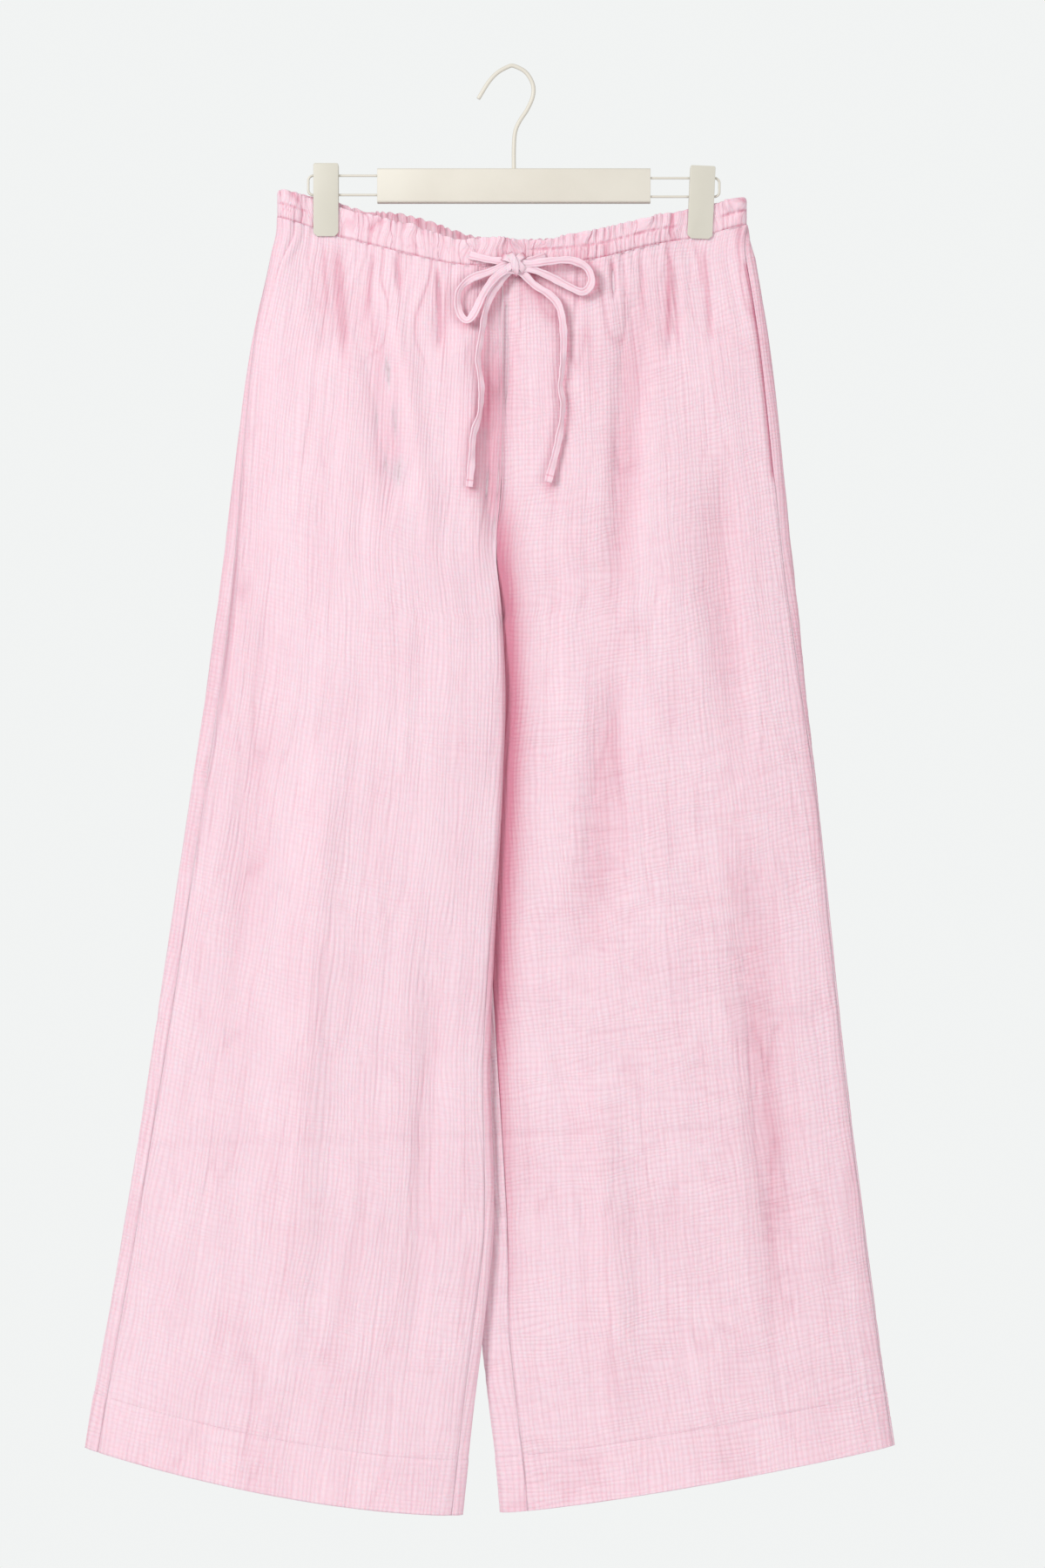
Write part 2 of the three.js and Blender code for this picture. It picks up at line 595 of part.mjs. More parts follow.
function manifoldOf(geometry) {
  geometry.deleteAttribute("normal");
  geometry.deleteAttribute("uv");
  const merged = mergeVertices(geometry, 1e-3);
  return new wasm.Manifold(new wasm.Mesh({
    numProp: 3,
    vertProperties: merged.attributes.position.array,
    triVerts: new Uint32Array(merged.index.array),
  }));
}

function geometryFrom(manifold) {
  const mesh = manifold.getMesh();
  const geometry = new THREE.BufferGeometry();
  geometry.setAttribute("position", new THREE.BufferAttribute(mesh.vertProperties, 3));
  geometry.setIndex(new THREE.BufferAttribute(mesh.triVerts, 1));
  geometry.computeVertexNormals();
  return geometry;
}

// A channel, open to the back, with a hole in its upper flange for the hook's shank
function addBar() {
  const outline = new THREE.Shape();
  const foot = BAR.top - BAR.height;
  outline.moveTo(BAR.back, BAR.top);
  outline.lineTo(BAR.front + BAR.bend, BAR.top);
  outline.absarc(BAR.front + BAR.bend, BAR.top - BAR.bend, BAR.bend, Math.PI / 2, Math.PI, false);
  outline.absarc(BAR.front + BAR.bend, foot + BAR.bend, BAR.bend, Math.PI, Math.PI * 1.5, false);
  outline.lineTo(BAR.back, foot);
  outline.lineTo(BAR.back, foot + BAR.sheet);
  outline.lineTo(BAR.front + BAR.sheet, foot + BAR.sheet);
  outline.lineTo(BAR.front + BAR.sheet, BAR.top - BAR.sheet);
  outline.lineTo(BAR.back, BAR.top - BAR.sheet);
  const settings = { depth: BAR.left - BAR.right, bevelEnabled: false, curveSegments: 4 };
  const channel = new THREE.ExtrudeGeometry(outline, settings);
  channel.rotateX(Math.PI / 2);
  channel.rotateZ(Math.PI / 2);
  channel.translate(BAR.right, 0, 0);
  const hole = new THREE.CylinderGeometry(HOOK.hole, HOOK.hole, 6, 16);
  hole.rotateX(Math.PI / 2);
  hole.translate(0, 0, BAR.top);
  addMetal("hanger_bar", geometryFrom(manifoldOf(channel).subtract(manifoldOf(hole))));
}

function addHook() {
  const under = BAR.top - BAR.sheet - SEAM_GAP;
  const crown = HOOK.wire;
  const wirePoints = [
    [0, 0, under], [0, 0, -66], [1, 0, -53], [4.5, 0, -44], [11, 0, -34], [15.6, 0, -23], [15.4, 0, -13],
    [9.6, 0, -3.4], [0, 0, crown], [-5, 0, 0.9], [-13.6, 0, -4], [-21, 0, -12], [-29, 0, -25],
  ];
  const route = routeOf(wirePoints, HOOK.step);
  const foot = route[0];
  const headFoot = new THREE.Vector3(foot.x, foot.y, foot.z - HOOK.headHeight);
  const headTop = new THREE.Vector3(foot.x, foot.y, foot.z - 0.05);
  const wide = HOOK.head / HOOK.wire;
  const scales = [wide, wide, ...route.map(() => 1)];
  const facing = new THREE.Vector3(0, -1, 0);
  const section = roundSection(HOOK.wire, 8);
  addMetal("hanger_hook", swept([headFoot, headTop, ...route], section, facing, scales));
}

// Upper and lower rod of each loop where they leave the bar, and how the loop turns at its end
const LOOPS = {
  hanger_loop_right: { side: -1, upper: -88.6, lower: -104.4 },
  hanger_loop_left: { side: 1, upper: -90.6, lower: -105.8 },
};

function addLoops() {
  for (const [name, loop] of Object.entries(LOOPS)) {
    const radius = (loop.upper - loop.lower) / 2;
    const middle = (loop.upper + loop.lower) / 2;
    const bendAt = LOOP.outside - radius - LOOP.wire;
    const route = [new THREE.Vector3(loop.side * LOOP.inside, LOOP.y, loop.upper)];
    for (let i = 0; i <= 10; i += 1) {
      const angle = Math.PI / 2 - Math.PI * i / 10;
      const x = loop.side * (bendAt + radius * Math.cos(angle));
      route.push(new THREE.Vector3(x, LOOP.y, middle + radius * Math.sin(angle)));
    }
    route.push(new THREE.Vector3(loop.side * LOOP.inside, LOOP.y, loop.lower));
    const facing = new THREE.Vector3(0, -1, 0);
    addMetal(name, swept(route, roundSection(LOOP.wire, 8), facing, null));
  }
}

// A clip: two jaws of bent sheet, and the block between them that slides on the loop's rods
const JAW = { width: 20.6, height: 60, sheet: 1.2, inside: 3.9, corner: 4 };
const BLOCK = { width: 14, depth: 7 };
const CLIPS = [
  { name: "clip_right", x: -154, top: -78.6, tilt: 0, loop: LOOPS.hanger_loop_right },
  { name: "clip_left", x: 155, top: -80.7, tilt: 0.045, loop: LOOPS.hanger_loop_left },
];

function addClip(clip) {
  const half = JAW.width / 2;
  const plate = new THREE.Shape();
  plate.moveTo(-half, 0);
  plate.lineTo(-half, -JAW.height + JAW.corner);
  plate.absarc(-half + JAW.corner, -JAW.height + JAW.corner, JAW.corner, Math.PI, Math.PI * 1.5, false);
  plate.absarc(half - JAW.corner, -JAW.height + JAW.corner, JAW.corner, Math.PI * 1.5, Math.PI * 2, false);
  plate.lineTo(half, 0);
  for (const face of ["front", "back"]) {
    const settings = { depth: JAW.sheet, bevelEnabled: false, curveSegments: 6 };
    const jaw = new THREE.ExtrudeGeometry(plate, settings);
    jaw.rotateX(Math.PI / 2);
    const y = face === "front" ? -JAW.inside : JAW.inside + JAW.sheet;
    const mesh = addMetal(`${clip.name}_${face}_jaw`, jaw);
    mesh.position.set(clip.x, y, clip.top);
    mesh.rotation.y = clip.tilt;
  }
  const rods = clip.loop.upper - clip.loop.lower - 2 * LOOP.wire;
  const block = new THREE.BoxGeometry(BLOCK.width, BLOCK.depth, rods - 2 * SEAM_GAP);
  const mesh = addMetal(`${clip.name}_block`, block);
  mesh.position.set(clip.x, 0, (clip.loop.upper + clip.loop.lower) / 2);
}

addBar();
addHook();
addLoops();
for (const clip of CLIPS) addClip(clip);

export default group;
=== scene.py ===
# Gauze trousers hanging from a metal clip hanger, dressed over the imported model.
# Left and right are the wearer's: the right leg is on -X, and the front faces -Y.
import math
import bpy
import numpy as np
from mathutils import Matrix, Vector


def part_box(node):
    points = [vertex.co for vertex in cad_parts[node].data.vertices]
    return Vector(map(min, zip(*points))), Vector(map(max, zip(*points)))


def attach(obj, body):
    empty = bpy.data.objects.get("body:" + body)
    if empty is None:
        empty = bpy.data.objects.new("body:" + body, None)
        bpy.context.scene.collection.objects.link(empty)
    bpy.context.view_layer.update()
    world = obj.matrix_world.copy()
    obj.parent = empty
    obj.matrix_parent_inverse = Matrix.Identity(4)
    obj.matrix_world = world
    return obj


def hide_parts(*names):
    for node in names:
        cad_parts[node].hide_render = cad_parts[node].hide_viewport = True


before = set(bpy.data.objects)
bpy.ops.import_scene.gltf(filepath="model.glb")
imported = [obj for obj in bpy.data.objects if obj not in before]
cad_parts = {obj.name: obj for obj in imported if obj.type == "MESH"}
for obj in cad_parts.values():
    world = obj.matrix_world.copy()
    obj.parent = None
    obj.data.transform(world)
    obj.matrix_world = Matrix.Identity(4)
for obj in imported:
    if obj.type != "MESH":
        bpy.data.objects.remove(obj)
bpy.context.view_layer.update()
MM = 0.001

# Camera: square on to the front from across the room, at the height of the thighs.
# The photograph's 1800 rows show 1.286 m of height at the cloth.
CAMERA_DISTANCE = 3.5
SEEN_HEIGHT = 1.2857
SENSOR = 36.0
CAMERA_X = 0.0071
CAMERA_Z = -0.5871
camera_lens = bpy.data.cameras.new("camera")
camera_lens.sensor_width = SENSOR
camera_lens.lens = SENSOR * CAMERA_DISTANCE / SEEN_HEIGHT
camera = bpy.data.objects.new("camera", camera_lens)
camera.location = (CAMERA_X, -CAMERA_DISTANCE, CAMERA_Z)
camera.rotation_euler = (math.pi / 2, 0, 0)
bpy.context.scene.collection.objects.link(camera)
bpy.context.scene.camera = camera

# Drawstring: a flat tie of the same double gauze, folded and stitched along one edge.
# It comes out of two slits in the casing, is tied in a bow, and its ends hang free.
TIE_WIDTH = 6.2
TIE_THICKNESS = 1.05
TIE_RIGHT_ROUTE = [
    (-36, -17.5, -155.5), (-27, -19.4, -158), (-18, -20.6, -160), (-9.9, -21.8, -161),
    (2, -23.8, -162), (12.4, -25, -163.4), (28.9, -25.6, -161.5), (46.4, -24.2, -160.6),
    (58.6, -22.6, -165.7), (63.2, -21.6, -174), (62, -21, -181.5), (56, -21.2, -186),
    (46.4, -22, -182.5), (27.9, -23.6, -173), (11.6, -24.4, -167), (2, -23.8, -167.8),
    (-4.6, -23.2, -170.4), (-14.3, -22.4, -182), (-19, -21.8, -190), (-23.6, -21, -204),
    (-27.1, -21, -226), (-29.3, -21, -241), (-26.4, -21, -263), (-27.9, -21, -285),
    (-32.9, -21, -302), (-34.3, -21, -322), (-36.4, -21, -345),
]
TIE_LEFT_ROUTE = [
    (26, -17.6, -156.5), (20, -19.4, -158.4), (12.2, -21.8, -160.8), (1.5, -22.6, -163),
    (-9.4, -23.6, -165.6), (-20, -23, -170), (-34.3, -22, -175), (-43.6, -21, -183),
    (-46, -20.6, -193), (-43.6, -21.2, -204.3), (-37.9, -22.4, -209.3), (-32, -23.6, -203),
    (-25, -25.2, -188.6), (-17, -26, -177), (-7.6, -25.6, -169.6), (0, -24.4, -169),
    (7, -22.8, -171), (17, -21.8, -180.5), (28.6, -21.8, -188), (36, -21, -196),
    (39.3, -21, -207), (40.7, -21, -226), (39.3, -21, -251), (37.9, -21, -262),
    (40, -21, -277), (38.6, -21, -294), (35, -21, -313), (27.9, -21, -341),
]
# How far the flat tie is turned about its own run, in degrees, at shares of its length
TIE_RIGHT_TURNS = [(0, 0), (0.1, 5), (0.25, -18), (0.33, 12), (0.5, 0), (0.59, 35), (0.67, 50),
                   (0.76, 42), (0.84, 50), (0.93, 30), (1, 0)]
TIE_LEFT_TURNS = [(0, 0), (0.12, -10), (0.22, 40), (0.3, 15), (0.4, -5), (0.55, -20), (0.66, 20),
                  (0.73, 48), (0.84, 50), (0.92, 26), (1, 6)]


def run_along(line):
    """How far each point of a line is from its start, measured along it."""
    return np.concatenate([[0], np.cumsum(np.linalg.norm(np.diff(line, axis=0), axis=1))])


def read_along(places, run, values):
    """Points or directions read at places along a line."""
    return np.stack([np.interp(places, run, values[:, k]) for k in range(3)], axis=1)


def smooth_route(points, step):
    """Evenly spaced points on one smooth curve through a given route, and its length."""
    given = np.array(points, dtype=float)
    ends = np.vstack([2 * given[0] - given[1], given, 2 * given[-1] - given[-2]])
    fine = []
    for i in range(len(given) - 1):
        a, b, c, d = ends[i:i + 4]
        t = np.linspace(0, 1, 24, endpoint=False)[:, None]
        bend = 2 * b + (c - a) * t + (2 * a - 5 * b + 4 * c - d) * t ** 2
        fine.append(0.5 * (bend + (3 * b - a - 3 * c + d) * t ** 3))
    fine = np.vstack(fine + [given[-1:]])
    run = run_along(fine)
    even = np.linspace(0, run[-1], max(3, round(run[-1] / step) + 1))
    return read_along(even, run, fine), run[-1]


def mesh_piece(name, points, faces, material, smooth=True, flipped=False):
    """A named object from points in millimetres; flipped turns all its faces over."""
    if flipped:
        faces = [face[::-1] for face in faces]
    mesh = bpy.data.meshes.new(name)
    mesh.from_pydata((np.asarray(points) * MM).tolist(), [], faces)
    mesh.validate()
    if smooth:
        mesh.polygons.foreach_set("use_smooth", [True] * len(mesh.polygons))
    mesh.materials.append(material)
    piece = bpy.data.objects.new(name, mesh)
    bpy.context.scene.collection.objects.link(piece)
    return piece


def swept_rings(route, section, facing=(0, -1, 0), turns=((0, 0), (1, 0)), scales=1):
    """Rings of a section carried along a route, its width kept square to the facing side."""
    along = np.gradient(route, axis=0)
    along /= np.linalg.norm(along, axis=1)[:, None]
    out = facing - along * (along @ facing)[:, None]
    out /= np.linalg.norm(out, axis=1)[:, None]
    side = np.cross(along, out)
    angle = np.radians(np.interp(np.linspace(0, 1, len(route)), *zip(*turns)))[:, None]
    wide = side * np.cos(angle) + out * np.sin(angle)
    thick = out * np.cos(angle) - side * np.sin(angle)
    sizes = np.broadcast_to(scales, len(route))[:, None, None]
    return route[:, None] + sizes * (section[:, :1] * wide[:, None] + section[:, 1:] * thick[:, None])


def quads(grid):
    """The faces between the neighbours in a grid of point numbers."""
    corners = [grid[:-1, :-1], grid[:-1, 1:], grid[1:, 1:], grid[1:, :-1]]
    return np.stack(corners, axis=-1).reshape(-1, 4).tolist()


def swept_faces(rings, around):
    grid = np.arange(rings * around).reshape(rings, around)
    sides = quads(np.hstack([grid, grid[:, :1]]))
    return sides + [grid[0, ::-1].tolist(), grid[-1].tolist()]


def swept_piece(name, route, section, material, **sweep):
    """A closed piece whose section follows a route, with its ends capped."""
    rings = swept_rings(route, section, **sweep)
    return mesh_piece(name, rings.reshape(-1, 3), swept_faces(*rings.shape[:2]), material)


def swept_group(name, parts, material):
    """One piece made of several swept parts, and all its points."""
    points = np.vstack([rings.reshape(-1, 3) for rings in parts])
    faces = []
    start = 0
    for rings in parts:
        for face in swept_faces(*rings.shape[:2]):
            faces.append([start + corner for corner in face])
        start += rings.shape[0] * rings.shape[1]
    return mesh_piece(name, points, faces, material), points


def bell(offset, width):
    """1 where the offset is nothing, fading out over a width to both sides."""
    return np.exp(-(offset / width) ** 2)


# Spacing of a wave texture's bands at a scale of 1
WAVE_PITCH = 2 * math.pi / 20
GAUZE_DARK = (0.853, 0.64, 0.715)
GAUZE_LIGHT = (0.892, 0.70, 0.77)
# Deep pink mixed in as painted shade in creases, hollows, cast shadows and the valleys of the ribs
GAUZE_SHADE_PINK = (0.64, 0.25, 0.34, 1)


def new_material(name):
    material = bpy.data.materials.new(name)
    material.use_nodes = True
    return material, material.node_tree, material.node_tree.nodes["Principled BSDF"]


def wire(tree, node, sockets):
    """Types plain values in to a node's sockets, and links those that take another node's output."""
    for label, value in sockets.items():
        if isinstance(value, bpy.types.NodeSocket):
            tree.links.new(value, node.inputs[label])
        else:
            node.inputs[label].default_value = value
    return node


def add_node(tree, kind, sockets):
    return wire(tree, tree.nodes.new("ShaderNode" + kind), sockets)


def two_tones(tree, source, dark_at, dark, light_at, light):
    """A colour that goes from dark to light as the source rises from one value to the other."""
    ramp = add_node(tree, "ValToRGB", {"Fac": source})
    for stop, position, colour in zip(ramp.color_ramp.elements, (dark_at, light_at), (dark, light)):
        stop.position = position
        stop.color = (*colour, 1)
    return ramp.outputs["Color"]


def gauze_material(name, rib_bump, step_bump):
    """Pale pink double gauze: a loose plain weave, fine ribs and steps, and painted shade of deeper pink in
    creases, hollows and valleys.
    """
    material, tree, cloth = new_material(name)
    place = tree.nodes.new("ShaderNodeUVMap")
    place.uv_map = "cut"

    def stretched(across, down):
        sockets = {"Scale": (1 / across, 1 / down, 1), "Vector": place.outputs["UV"]}
        return add_node(tree, "Mapping", sockets).outputs["Vector"]

    def combined(operation, first, second):
        node = add_node(tree, "Math", {0: first, 1: second})
        node.operation = operation
        return node.outputs["Value"]

    def scaled(value, factor):
        return combined("MULTIPLY", value, factor)

    def noise(across, down, detail):
        """Soft spots, about as wide and as high as the first two numbers in millimetres."""
        sockets = {"Scale": 1.0, "Detail": detail, "Roughness": 0.55, "Vector": stretched(across, down)}
        return add_node(tree, "TexNoise", sockets).outputs["Fac"]

    def bands(pitch, along, direction, distortion, wander_scale):
        """Wandering parallel lines: pitch is their spacing in millimetres, along how slowly they wander."""
        scales = (pitch / WAVE_PITCH, along)
        scales = scales if direction == "X" else scales[::-1]
        wave = add_node(tree, "TexWave", {"Scale": 1.0, "Distortion": distortion, "Detail": 1.5,
                                          "Detail Scale": wander_scale, "Vector": stretched(*scales)})
        wave.bands_direction = direction
        return wave.outputs["Fac"]

    weave = combined("ADD", bands(1.05, 3.4, "X", 1.6, 0.3), bands(1.05, 3.4, "Y", 1.6, 0.3))
    ribs = combined("POWER", bands(3.3, 52.0, "X", 12.0, 0.5), 2.0)
    steps = combined("POWER", bands(3.9, 38.0, "Y", 14.0, 0.6), 2.0)
    steps = scaled(steps, noise(45, 70, 1.0))
    valleys = combined("ADD", scaled(ribs, rib_bump), scaled(steps, step_bump))
    relief = combined("SUBTRACT", scaled(weave, 0.06), valleys)
    bump = add_node(tree, "Bump", {"Strength": 0.42, "Distance": 0.0009, "Height": relief})

    mottle = combined("ADD", scaled(noise(34, 70, 3.0), 0.6), scaled(noise(1.3, 9, 2.0), 0.4))
    tone = two_tones(tree, mottle, 0.36, GAUZE_DARK, 0.64, GAUZE_LIGHT)
    # Painted shade: the stored shade attribute and the valleys of the ribs and steps mix in the deep pink
    crease_shade = tree.nodes.new("ShaderNodeAttribute")
    crease_shade.attribute_name = "crease_shade"
    depth = combined("ADD", crease_shade.outputs["Fac"], scaled(valleys, 0.17))
    painted_shade_mix = tree.nodes.new("ShaderNodeMix")
    painted_shade_mix.data_type = "RGBA"
    wire(tree, painted_shade_mix, {"Factor": combined("MINIMUM", depth, 1.0), "A": tone, "B": GAUZE_SHADE_PINK})
    wire(tree, cloth, {"Roughness": 0.92, "Specular IOR Level": 0.12, "Sheen Weight": 0.12,
                       "Sheen Roughness": 0.6, "Sheen Tint": (1.0, 0.78, 0.85, 1),
                       "Subsurface Weight": 0.3, "Subsurface Radius": (1.0, 0.4, 0.5),
                       "Subsurface Scale": 0.003, "Normal": bump.outputs["Normal"],
                       "Base Color": painted_shade_mix.outputs["Result"]})
    return material


def dress(piece, slot, *nodes):
    """Fixes a piece to the one body and hides the imported solids that it stands for; its slot is not used.
    """
    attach(piece, "root")
    if nodes:
        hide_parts(*nodes)


def finish_cloth(piece, across, down, painted_shades, *nodes):
    """Stores each point's place on the flat cut, in millimetres, and how much painted shade of deeper pink
    it gets.
    """
    mesh = piece.data
    corner_points = np.empty(len(mesh.loops), dtype=np.int32)
    mesh.loops.foreach_get("vertex_index", corner_points)
    flat = np.stack([across.ravel(), down.ravel()], axis=1)[corner_points]
    cut = mesh.uv_layers.new(name="cut")
    cut.data.foreach_set("uv", flat.astype(np.float32).ravel())
    shade_values = np.broadcast_to(np.ravel(painted_shades), len(mesh.vertices))
    crease_shade = mesh.attributes.new("crease_shade", "FLOAT", "POINT")
    crease_shade.data.foreach_set("value", np.clip(shade_values, 0, 1).astype(np.float32))
    dress(piece, "gauze", *nodes)


tie_gauze = gauze_material("tie_gauze", 0.5, 0.1)
TIE_END_HEM = 5.5
TIE_STITCHES = 0.45 * TIE_WIDTH / 2


def tie_section():
    """A flat tube of cloth, with a shallow groove off its middle where its stitches run."""
    places = np.array([-1, -0.98, -0.88, -0.5, 0, 0.3, 0.45, 0.6, 0.8, 0.97])
    fullness = np.array([0, 0.75, 1, 1.05, 1, 0.9, 0.6, 0.85, 0.9, 0.7])
    wide = np.concatenate([places, [1.0], places[:0:-1]]) * TIE_WIDTH / 2
    thick = np.concatenate([fullness, [0.0], -fullness[:0:-1]]) * TIE_THICKNESS / 2
    return np.stack([wide, thick], axis=1)


def add_tie(name, points, turns, *nodes):
    """One end of the drawstring from its slit on, a little uneven in its twist and its width."""
    route, length = smooth_route(points, 1.1)
    section = tie_section()
    run = np.linspace(0, length, len(route))
    twist = np.interp(run / length, *zip(*turns))
    twist = twist + 6 * np.sin(2 * math.pi * run / 37) + 5 * np.sin(2 * math.pi * run / 17)
    widths = 1 + 0.07 * np.sin(2 * math.pi * run / 29 + 1) + 0.04 * np.sin(2 * math.pi * run / 11)
    piece = swept_piece(name, route, section, tie_gauze, turns=zip(run / length, twist), scales=widths)
    down = np.repeat(run, len(section))
    across = np.tile(section[:, 0], len(route))
    stitches = bell(across - TIE_STITCHES, 0.35) + bell(length - down - TIE_END_HEM, 0.6)
    finish_cloth(piece, across, down, 0.5 * stitches, *nodes)
    return piece, length, route


tie_right, tie_right_length, tie_right_path = add_tie(
    "tie_right", TIE_RIGHT_ROUTE, TIE_RIGHT_TURNS, "tie_lead_right", "tie_loop_left", "tie_end_right")
tie_left, tie_left_length, tie_left_path = add_tie(
    "tie_left", TIE_LEFT_ROUTE, TIE_LEFT_TURNS, "tie_lead_left", "tie_loop_right", "tie_end_left")

# The knot: the tie wound once over itself and pulled tight, so that three turns of it show.
# Each turn bulges to the front and dips back in to the casing at both its ends.
KNOT_WRAPS = [
    [(-9.5, -21.4, -158), (-6, -25.4, -158.8), (1.5, -27, -162), (7, -25.8, -167.4),
     (9.5, -21.4, -171)],
    [(8.8, -21.4, -156.2), (5.4, -25.2, -157.8), (0.5, -26.4, -163), (-5.5, -25.4, -167.6),
     (-9, -21.4, -170)],
    [(-3.6, -21.2, -154.8), (-2.2, -26.6, -157.4), (0.6, -28, -162.6), (1.4, -26.8, -168.6),
     (0.4, -21.2, -172)],
]
knot_section = tie_section() * np.array([0.9, 1.6])
knot_parts = [swept_rings(smooth_route(wrap, 0.8)[0], knot_section, (0, -1, 0.15)) for wrap in KNOT_WRAPS]
tie_knot, knot_points = swept_group("bow_knot", knot_parts, tie_gauze)
# Painted shade: deeper pink where the knot's turns dip back towards the casing
knot_shade = np.clip((knot_points[:, 1] + 26) / 4, 0, 0.9)
finish_cloth(tie_knot, knot_points[:, 0], knot_points[:, 2], knot_shade, "tie_knot")

# Legs: four panels of crinkled double gauze, wide and straight, sewn at the sides, the insides
# of the legs and the middle. The wearer's right leg hangs a little in front of the left.
WALL = 1.6
WAIST_RIGHT = -194.0
WAIST_LEFT = 191.0
MIDDLE_SEAM = -9.0
WAIST_WAVES = {"right": 28, "left": 30}
CLIP_PLACE = 154.0
CLIP_HOLD = 13.0
LEG_LENGTH = 1023.0
# The crotch's share of the way down, and how far above it the legs round in to each other
CROTCH = 0.2815
CROTCH_ROUND = 60.0
# How late the leg's depth rounds off towards its folded edges
EDGE_POWER = 16
# Height, outer and inner edge of the right leg, inner and outer edge of the left leg
LEG_OUTLINE = np.array([
    (-120, -194, -9, -9, 191),
    (-160, -201, -9, -9, 199.5),
    (-230, -215.7, -9, -9, 210.7),
    (-340, -231, -10, -10, 222.5),
    (-396, -237.6, -14.5, -14.5, 228.2),
    (-450, -244.6, -9.5, -10.5, 234),
    (-516, -253, -7, -16, 240.7),
    (-587, -263.6, -9, -24, 248.6),
    (-801, -295.7, -20, -24, 270),
    (-950, -320.5, -17, -22, 288),
    (-1029, -334.2, -25, -22.5, 298.2),
    (-1087, -344.5, -32, -17.5, 306),
    (-1150, -354.7, -39, -10, 315.6),
    (-1190, -361, -43.5, -7, 322),
])
# Share of the way down, half depth in the middle of the leg, half depth at its folded edges
LEG_DEPTHS = np.array([(0, 13, 6), (0.2, 17, 7), (0.5, 15, 7), (0.8, 15, 7), (1, 18, 8)])
# Each leg's columns in the outline, its end of the waist and its side; the heights of its hem's
# outer and inner corner and the hem's bend; how far it lies in front; the side seam's inset at
# the top and below, and where it changes; how much of that is given up again; the inner inset
LEGS = {
    "right": {"outer": 1, "inner": 2, "waist": WAIST_RIGHT, "side": -1, "hem": (-1131, -1185, 1.6),
              "forward": 6, "inset": (0, 11, 0.02, 0.35), "slip": 0, "inner_inset": 8},
    "left": {"outer": 4, "inner": 3, "waist": WAIST_LEFT, "side": 1, "hem": (-1129, -1185, 1.15),
             "forward": -6, "inset": (0, 8, 0, 0.03), "slip": 0.85, "inner_inset": 22},
}
# For each face and leg: x and z at the top, at a bend and at the foot, then width and depth
FOLDS = {
    ("front", "both"): [
        (-161, -137, -155, -195, -150, -251, 9, -4), (-132, -159, -109, -250, -90, -400, 13, -7),
        (-110, -160, -85, -280, -66, -430, 12, 4), (-61, -166, -60, -200, -58, -245, 8, -4),
        (-9, -173, -10, -230, -16, -300, 9, -4), (104, -159, 92, -300, 82, -480, 13, -6),
        (125, -160, 127, -200, 125, -244, 8, -4), (171, -300, 168, -440, 186, -590, 16, -4),
    ],
    ("front", "right"): [
        (-22, -270, -19, -340, -14, -410, 7, -3.5), (-216, -230, -237, -470, -262, -720, 15, -4),
        (-36, -250, -34, -340, -30, -440, 12, 4), (-66, -700, -72, -900, -84, -1110, 11, -3),
        (-205, -380, -215, -600, -232, -860, 16, -4), (-150, -520, -168, -760, -190, -1080, 18, 5),
    ],
    ("front", "left"): [
        (82, -480, 71, -620, 62, -760, 15, -5), (190, -620, 205, -820, 226, -1060, 18, -5),
        (60, -800, 75, -960, 88, -1130, 16, 5),
    ],
    ("back", "both"): [
        (139, -150, 120, -250, 104, -400, 13, -6), (60, -163, 64, -230, 62, -300, 10, -5),
        (-9, -168, -9, -270, -9, -380, 11, -5), (-75, -163, -80, -270, -92, -420, 13, -6),
        (-146, -150, -150, -210, -160, -290, 10, -4),
    ],
    ("back", "right"): [
        (-120, -480, -150, -760, -178, -1100, 17, -6), (-220, -560, -245, -800, -280, -1080, 17, 5),
    ],
    ("back", "left"): [
        (110, -470, 118, -740, 140, -1090, 17, -6), (210, -520, 220, -780, 250, -1060, 16, 5),
    ],
}
FOLD_DEPTH = 1.25
# Narrow creases that start in the gathers, in the same columns
CREASES = {
    ("front", "both"): [
        (-156, -137, -155, -170, -151, -215, 2.2, -1.8), (-145, -140, -143, -180, -137, -250, 4.5, -3.4),
        (-116, -147, -117, -170, -123, -215, 2.2, -2.2), (-97, -152, -96, -165, -94, -190, 2.0, -1.4),
        (-62.5, -158, -61.5, -190, -60, -238, 1.9, -3.2), (-13, -215, -17, -320, -12, -410, 12, -3.2),
        (52, -160, 52, -180, 50, -215, 2.0, -1.5), (80, -154, 81, -172, 82, -196, 1.8, -3.0),
        (102, -149, 105, -172, 106, -215, 2.2, -1.8), (125, -144, 127, -175, 126, -245, 2.2, -2.6),
        (147, -139, 152, -160, 155, -190, 1.8, -2.0), (154, -138, 158, -175, 162, -235, 2.4, -2.6),
    ],
    ("back", "both"): [
        (133, -142, 131, -170, 128, -215, 2.2, -2.2), (92, -151, 90, -180, 86, -240, 2.0, -2.8),
        (41, -158, 42, -180, 45, -210, 2.0, -2.0), (-47, -158, -48, -185, -52, -230, 2.0, -2.6),
        (-101, -150, -103, -180, -108, -225, 2.2, -2.4), (-149, -139, -153, -165, -160, -205, 2.0, -2.0),
    ],
}


def ease(low, high, value):
    t = np.clip((value - low) / (high - low), 0, 1)
    return t * t * (3 - 2 * t)


def humps(turns):
    """Round waves between 0 and 1, one for each whole turn."""
    return 0.5 - 0.5 * np.cos(2 * math.pi * turns)


